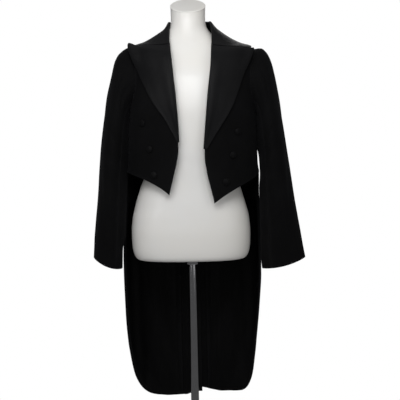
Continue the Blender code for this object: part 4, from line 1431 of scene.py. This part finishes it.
def make_stage():
    """A pale floor, soft light from above and in front, white surroundings, and the photograph's camera."""
    own = bpy.context.scene.tailcoat_studio
    mesh = bmesh.new()
    bmesh.ops.create_circle(mesh, cap_ends=True, segments=96, radius=own.floor_radius)
    bmesh.ops.translate(mesh, verts=mesh.verts, vec=(0, 0, -0.0006))
    data = bpy.data.meshes.new("floor")
    mesh.to_mesh(data)
    mesh.free()
    data.materials.append(bpy.data.materials["pale_floor"])
    floor = bpy.data.objects.new("floor", data)
    bpy.context.scene.collection.objects.link(floor)

    world = bpy.data.worlds.new("white_surroundings")
    world.use_nodes = True
    tree = world.node_tree
    seen, fill = tree.nodes["Background"], tree.nodes.new("ShaderNodeBackground")
    for background, strength in ((seen, 1.0), (fill, own.fill)):
        background.inputs["Color"].default_value = (1.0, 1.0, 1.0, 1.0)
        background.inputs["Strength"].default_value = strength
    backdrop_or_fill = tree.nodes.new("ShaderNodeMixShader")
    rays = tree.nodes.new("ShaderNodeLightPath")
    tree.links.new(rays.outputs["Is Camera Ray"], backdrop_or_fill.inputs["Fac"])
    tree.links.new(fill.outputs["Background"], backdrop_or_fill.inputs[1])
    tree.links.new(seen.outputs["Background"], backdrop_or_fill.inputs[2])
    tree.links.new(backdrop_or_fill.outputs["Shader"], tree.nodes["World Output"].inputs["Surface"])
    bpy.context.scene.world = world
    bpy.context.scene.view_settings.view_transform = "Standard"

    softboxes = (
        ("softbox_front", (-0.12, -1.15, 1.74), (0.0, 0.0, 1.24), own.front_power, 0.9, 0.5, 170),
        ("softbox_left", (-2.0, -2.3, 1.8), (0.0, 0.0, 1.1), own.side_power, 0.8, 1.8, 120),
        ("softbox_right", (2.0, -2.3, 1.7), (0.0, 0.0, 1.1), own.side_power * 0.8, 1.2, 1.8, 120),
        ("softbox_back", (0.4, 2.6, 2.2), (0.0, 0.0, 0.9), own.side_power * 0.8, 1.6, 1.2, 120),
        ("softbox_top", (0.0, -0.3, 3.4), (0.0, 0.0, 0.0), own.top_power, 2.6, 2.6, 180),
    )
    for softbox in softboxes:
        add_softbox(*softbox)

    camera = bpy.data.objects.new("camera", bpy.data.cameras.new("camera"))
    distance = (Vector(CAMERA_PLACE) - Vector(CAMERA_TARGET)).length
    camera.data.sensor_width = SENSOR_WIDTH
    camera.data.lens = SENSOR_WIDTH * distance / VIEW_WIDTH
    camera.matrix_world = aimed(CAMERA_PLACE, CAMERA_TARGET) @ Matrix.Rotation(CAMERA_ROLL, 4, "Z")
    bpy.context.scene.collection.objects.link(camera)
    bpy.context.scene.camera = camera


class TailcoatSettings(bpy.types.PropertyGroup):
    """What a user may change of the coat, its form and its stand."""

    cloth_wall: FloatProperty(
        name="Cloth", description="Thickness of the wool cloth",
        default=0.0018, min=0.001, max=0.003, unit="LENGTH",
    )
    lining_wall: FloatProperty(
        name="Lining", description="Thickness of the satin lining",
        default=0.001, min=0.0005, max=0.002, unit="LENGTH",
    )
    weave_pitch: FloatProperty(
        name="Weave", description="Distance between two ribs of the wool",
        default=0.0007, min=0.0003, unit="LENGTH",
    )
    silk_pitch: FloatProperty(
        name="Silk cords", description="Distance between two cords of the silk",
        default=0.0008, min=0.0003, unit="LENGTH",
    )
    crease_depth: FloatProperty(
        name="Creases", description="How deep the creases lie",
        default=0.8, min=0.0, max=1.5, subtype="FACTOR",
    )
    cloth_colour: FloatVectorProperty(
        name="Wool", description="Colour of the wool",
        default=(0.0031, 0.0031, 0.0034), subtype="COLOR",
    )
    silk_colour: FloatVectorProperty(
        name="Silk", description="Colour of the silk facings",
        default=(0.0050, 0.0050, 0.0055), subtype="COLOR",
    )
    lining_colour: FloatVectorProperty(
        name="Satin", description="Colour of the linings",
        default=(0.0024, 0.0024, 0.0026), subtype="COLOR",
    )
    form_colour: FloatVectorProperty(
        name="Lacquer", description="Colour of the dress form",
        default=(0.80, 0.795, 0.78), subtype="COLOR",
    )
    chrome_colour: FloatVectorProperty(
        name="Chrome", description="Colour of the stand's plating",
        default=(0.31, 0.31, 0.32), subtype="COLOR",
    )


class StudioSettings(bpy.types.PropertyGroup):
    """What a user may change of the studio."""

    floor_radius: FloatProperty(
        name="Floor", description="Radius of the round floor",
        default=1.45, min=0.3, unit="LENGTH", subtype="DISTANCE",
    )
    fill: FloatProperty(
        name="Fill", description="Brightness of the even light all around",
        default=0.19, min=0.0,
    )
    front_power: FloatProperty(
        name="Front softbox", description="Power of the softbox above the camera",
        default=9.0, min=0.0, unit="POWER",
    )
    side_power: FloatProperty(
        name="Side softboxes", description="Power of the softboxes at the sides",
        default=5.0, min=0.0, unit="POWER",
    )
    top_power: FloatProperty(
        name="Top softbox", description="Power of the softbox above",
        default=9.0, min=0.0, unit="POWER",
    )


class TAILCOAT_OT_finishes(bpy.types.Operator):
    """Mix the wool, silk, satin, lacquer, chrome and floor finishes"""

    bl_idname = "tailcoat.finishes"
    bl_label = "Finishes"

    def execute(self, context):
        mix_wool()
        mix_silk("silk", context.scene.tailcoat.silk_pitch, 0.075)
        # The buttons' silk is the facings' silk painted darker, as painted shade.
        mix_silk("silk_button", context.scene.tailcoat.silk_pitch, 0.065, shade=0.7)
        mix_satin()
        mix_lacquer()
        mix_chrome()
        mix_floor()
        return {"FINISHED"}


class TAILCOAT_OT_foreparts(bpy.types.Operator):
    """Make both fronts of the coat"""

    bl_idname = "tailcoat.foreparts"
    bl_label = "Foreparts"

    def execute(self, context):
        for side in SIDES:
            make_forepart(side)
        return {"FINISHED"}


class TAILCOAT_OT_sidebodies(bpy.types.Operator):
    """Make the panels under the arms"""

    bl_idname = "tailcoat.sidebodies"
    bl_label = "Sidebodies"

    def execute(self, context):
        for side in SIDES:
            make_sidebody(side)
        return {"FINISHED"}


class TAILCOAT_OT_backs(bpy.types.Operator):
    """Make both backs with their tail strips"""

    bl_idname = "tailcoat.backs"
    bl_label = "Backs"

    def execute(self, context):
        for side in SIDES:
            make_back(side)
        return {"FINISHED"}


class TAILCOAT_OT_tails(bpy.types.Operator):
    """Make both tails with the satin inside them"""

    bl_idname = "tailcoat.tails"
    bl_label = "Tails and linings"

    def execute(self, context):
        for side in SIDES:
            make_skirt(side)
        return {"FINISHED"}


class TAILCOAT_OT_lapels(bpy.types.Operator):
    """Make the silk-faced lapels"""

    bl_idname = "tailcoat.lapels"
    bl_label = "Lapels"

    def execute(self, context):
        for side in SIDES:
            make_lapel(side)
        return {"FINISHED"}


class TAILCOAT_OT_collar(bpy.types.Operator):
    """Make the collar's leaf and the stand under it"""

    bl_idname = "tailcoat.collar"
    bl_label = "Collar"

    def execute(self, context):
        make_collar()
        return {"FINISHED"}


class TAILCOAT_OT_sleeves(bpy.types.Operator):
    """Make the two-piece sleeves"""

    bl_idname = "tailcoat.sleeves"
    bl_label = "Sleeves"

    def execute(self, context):
        for side in SIDES:
            make_sleeve(side)
        return {"FINISHED"}


class TAILCOAT_OT_buttons(bpy.types.Operator):
    """Make the silk-covered buttons of the fronts"""

    bl_idname = "tailcoat.buttons"
    bl_label = "Buttons"

    def execute(self, context):
        for side in SIDES:
            make_buttons(side)
        return {"FINISHED"}


class TAILCOAT_OT_form(bpy.types.Operator):
    """Make the lacquered dress form and its neck lid"""

    bl_idname = "tailcoat.form"
    bl_label = "Dress form"

    def execute(self, context):
        make_form()
        return {"FINISHED"}


class TAILCOAT_OT_stand(bpy.types.Operator):
    """Make the chrome socket, tube, hub and foot"""

    bl_idname = "tailcoat.stand"
    bl_label = "Stand"

    def execute(self, context):
        make_stand()
        return {"FINISHED"}


class TAILCOAT_OT_stage(bpy.types.Operator):
    """Make the floor, the lights and the camera"""

    bl_idname = "tailcoat.stage"
    bl_label = "Studio"

    def execute(self, context):
        make_stage()
        return {"FINISHED"}


STEPS = (
    TAILCOAT_OT_finishes,
    TAILCOAT_OT_stage,
    TAILCOAT_OT_form,
    TAILCOAT_OT_stand,
    TAILCOAT_OT_foreparts,
    TAILCOAT_OT_sidebodies,
    TAILCOAT_OT_backs,
    TAILCOAT_OT_tails,
    TAILCOAT_OT_lapels,
    TAILCOAT_OT_collar,
    TAILCOAT_OT_sleeves,
    TAILCOAT_OT_buttons,
)


class TAILCOAT_PT_panel(bpy.types.Panel):
    """Lists the settings and the pieces"""

    bl_idname = "TAILCOAT_PT_panel"
    bl_label = "Tailcoat"
    bl_space_type = "VIEW_3D"
    bl_region_type = "UI"
    bl_category = "Tailcoat"

    def draw(self, context):
        for group in (context.scene.tailcoat, context.scene.tailcoat_studio):
            column = self.layout.column()
            for name in group.__annotations__:
                column.prop(group, name)
        column = self.layout.column()
        for step in STEPS:
            column.operator(step.bl_idname)


CLASSES = (TailcoatSettings, StudioSettings, *STEPS, TAILCOAT_PT_panel)


def register():
    for each in CLASSES:
        bpy.utils.register_class(each)
    bpy.types.Scene.tailcoat = PointerProperty(type=TailcoatSettings)
    bpy.types.Scene.tailcoat_studio = PointerProperty(type=StudioSettings)


def unregister():
    del bpy.types.Scene.tailcoat_studio
    del bpy.types.Scene.tailcoat
    for each in reversed(CLASSES):
        bpy.utils.unregister_class(each)


def main():
    register()
    for step in STEPS:
        group, name = step.bl_idname.split(".")
        getattr(getattr(bpy.ops, group), name)()


if __name__ == "__main__":
    main()
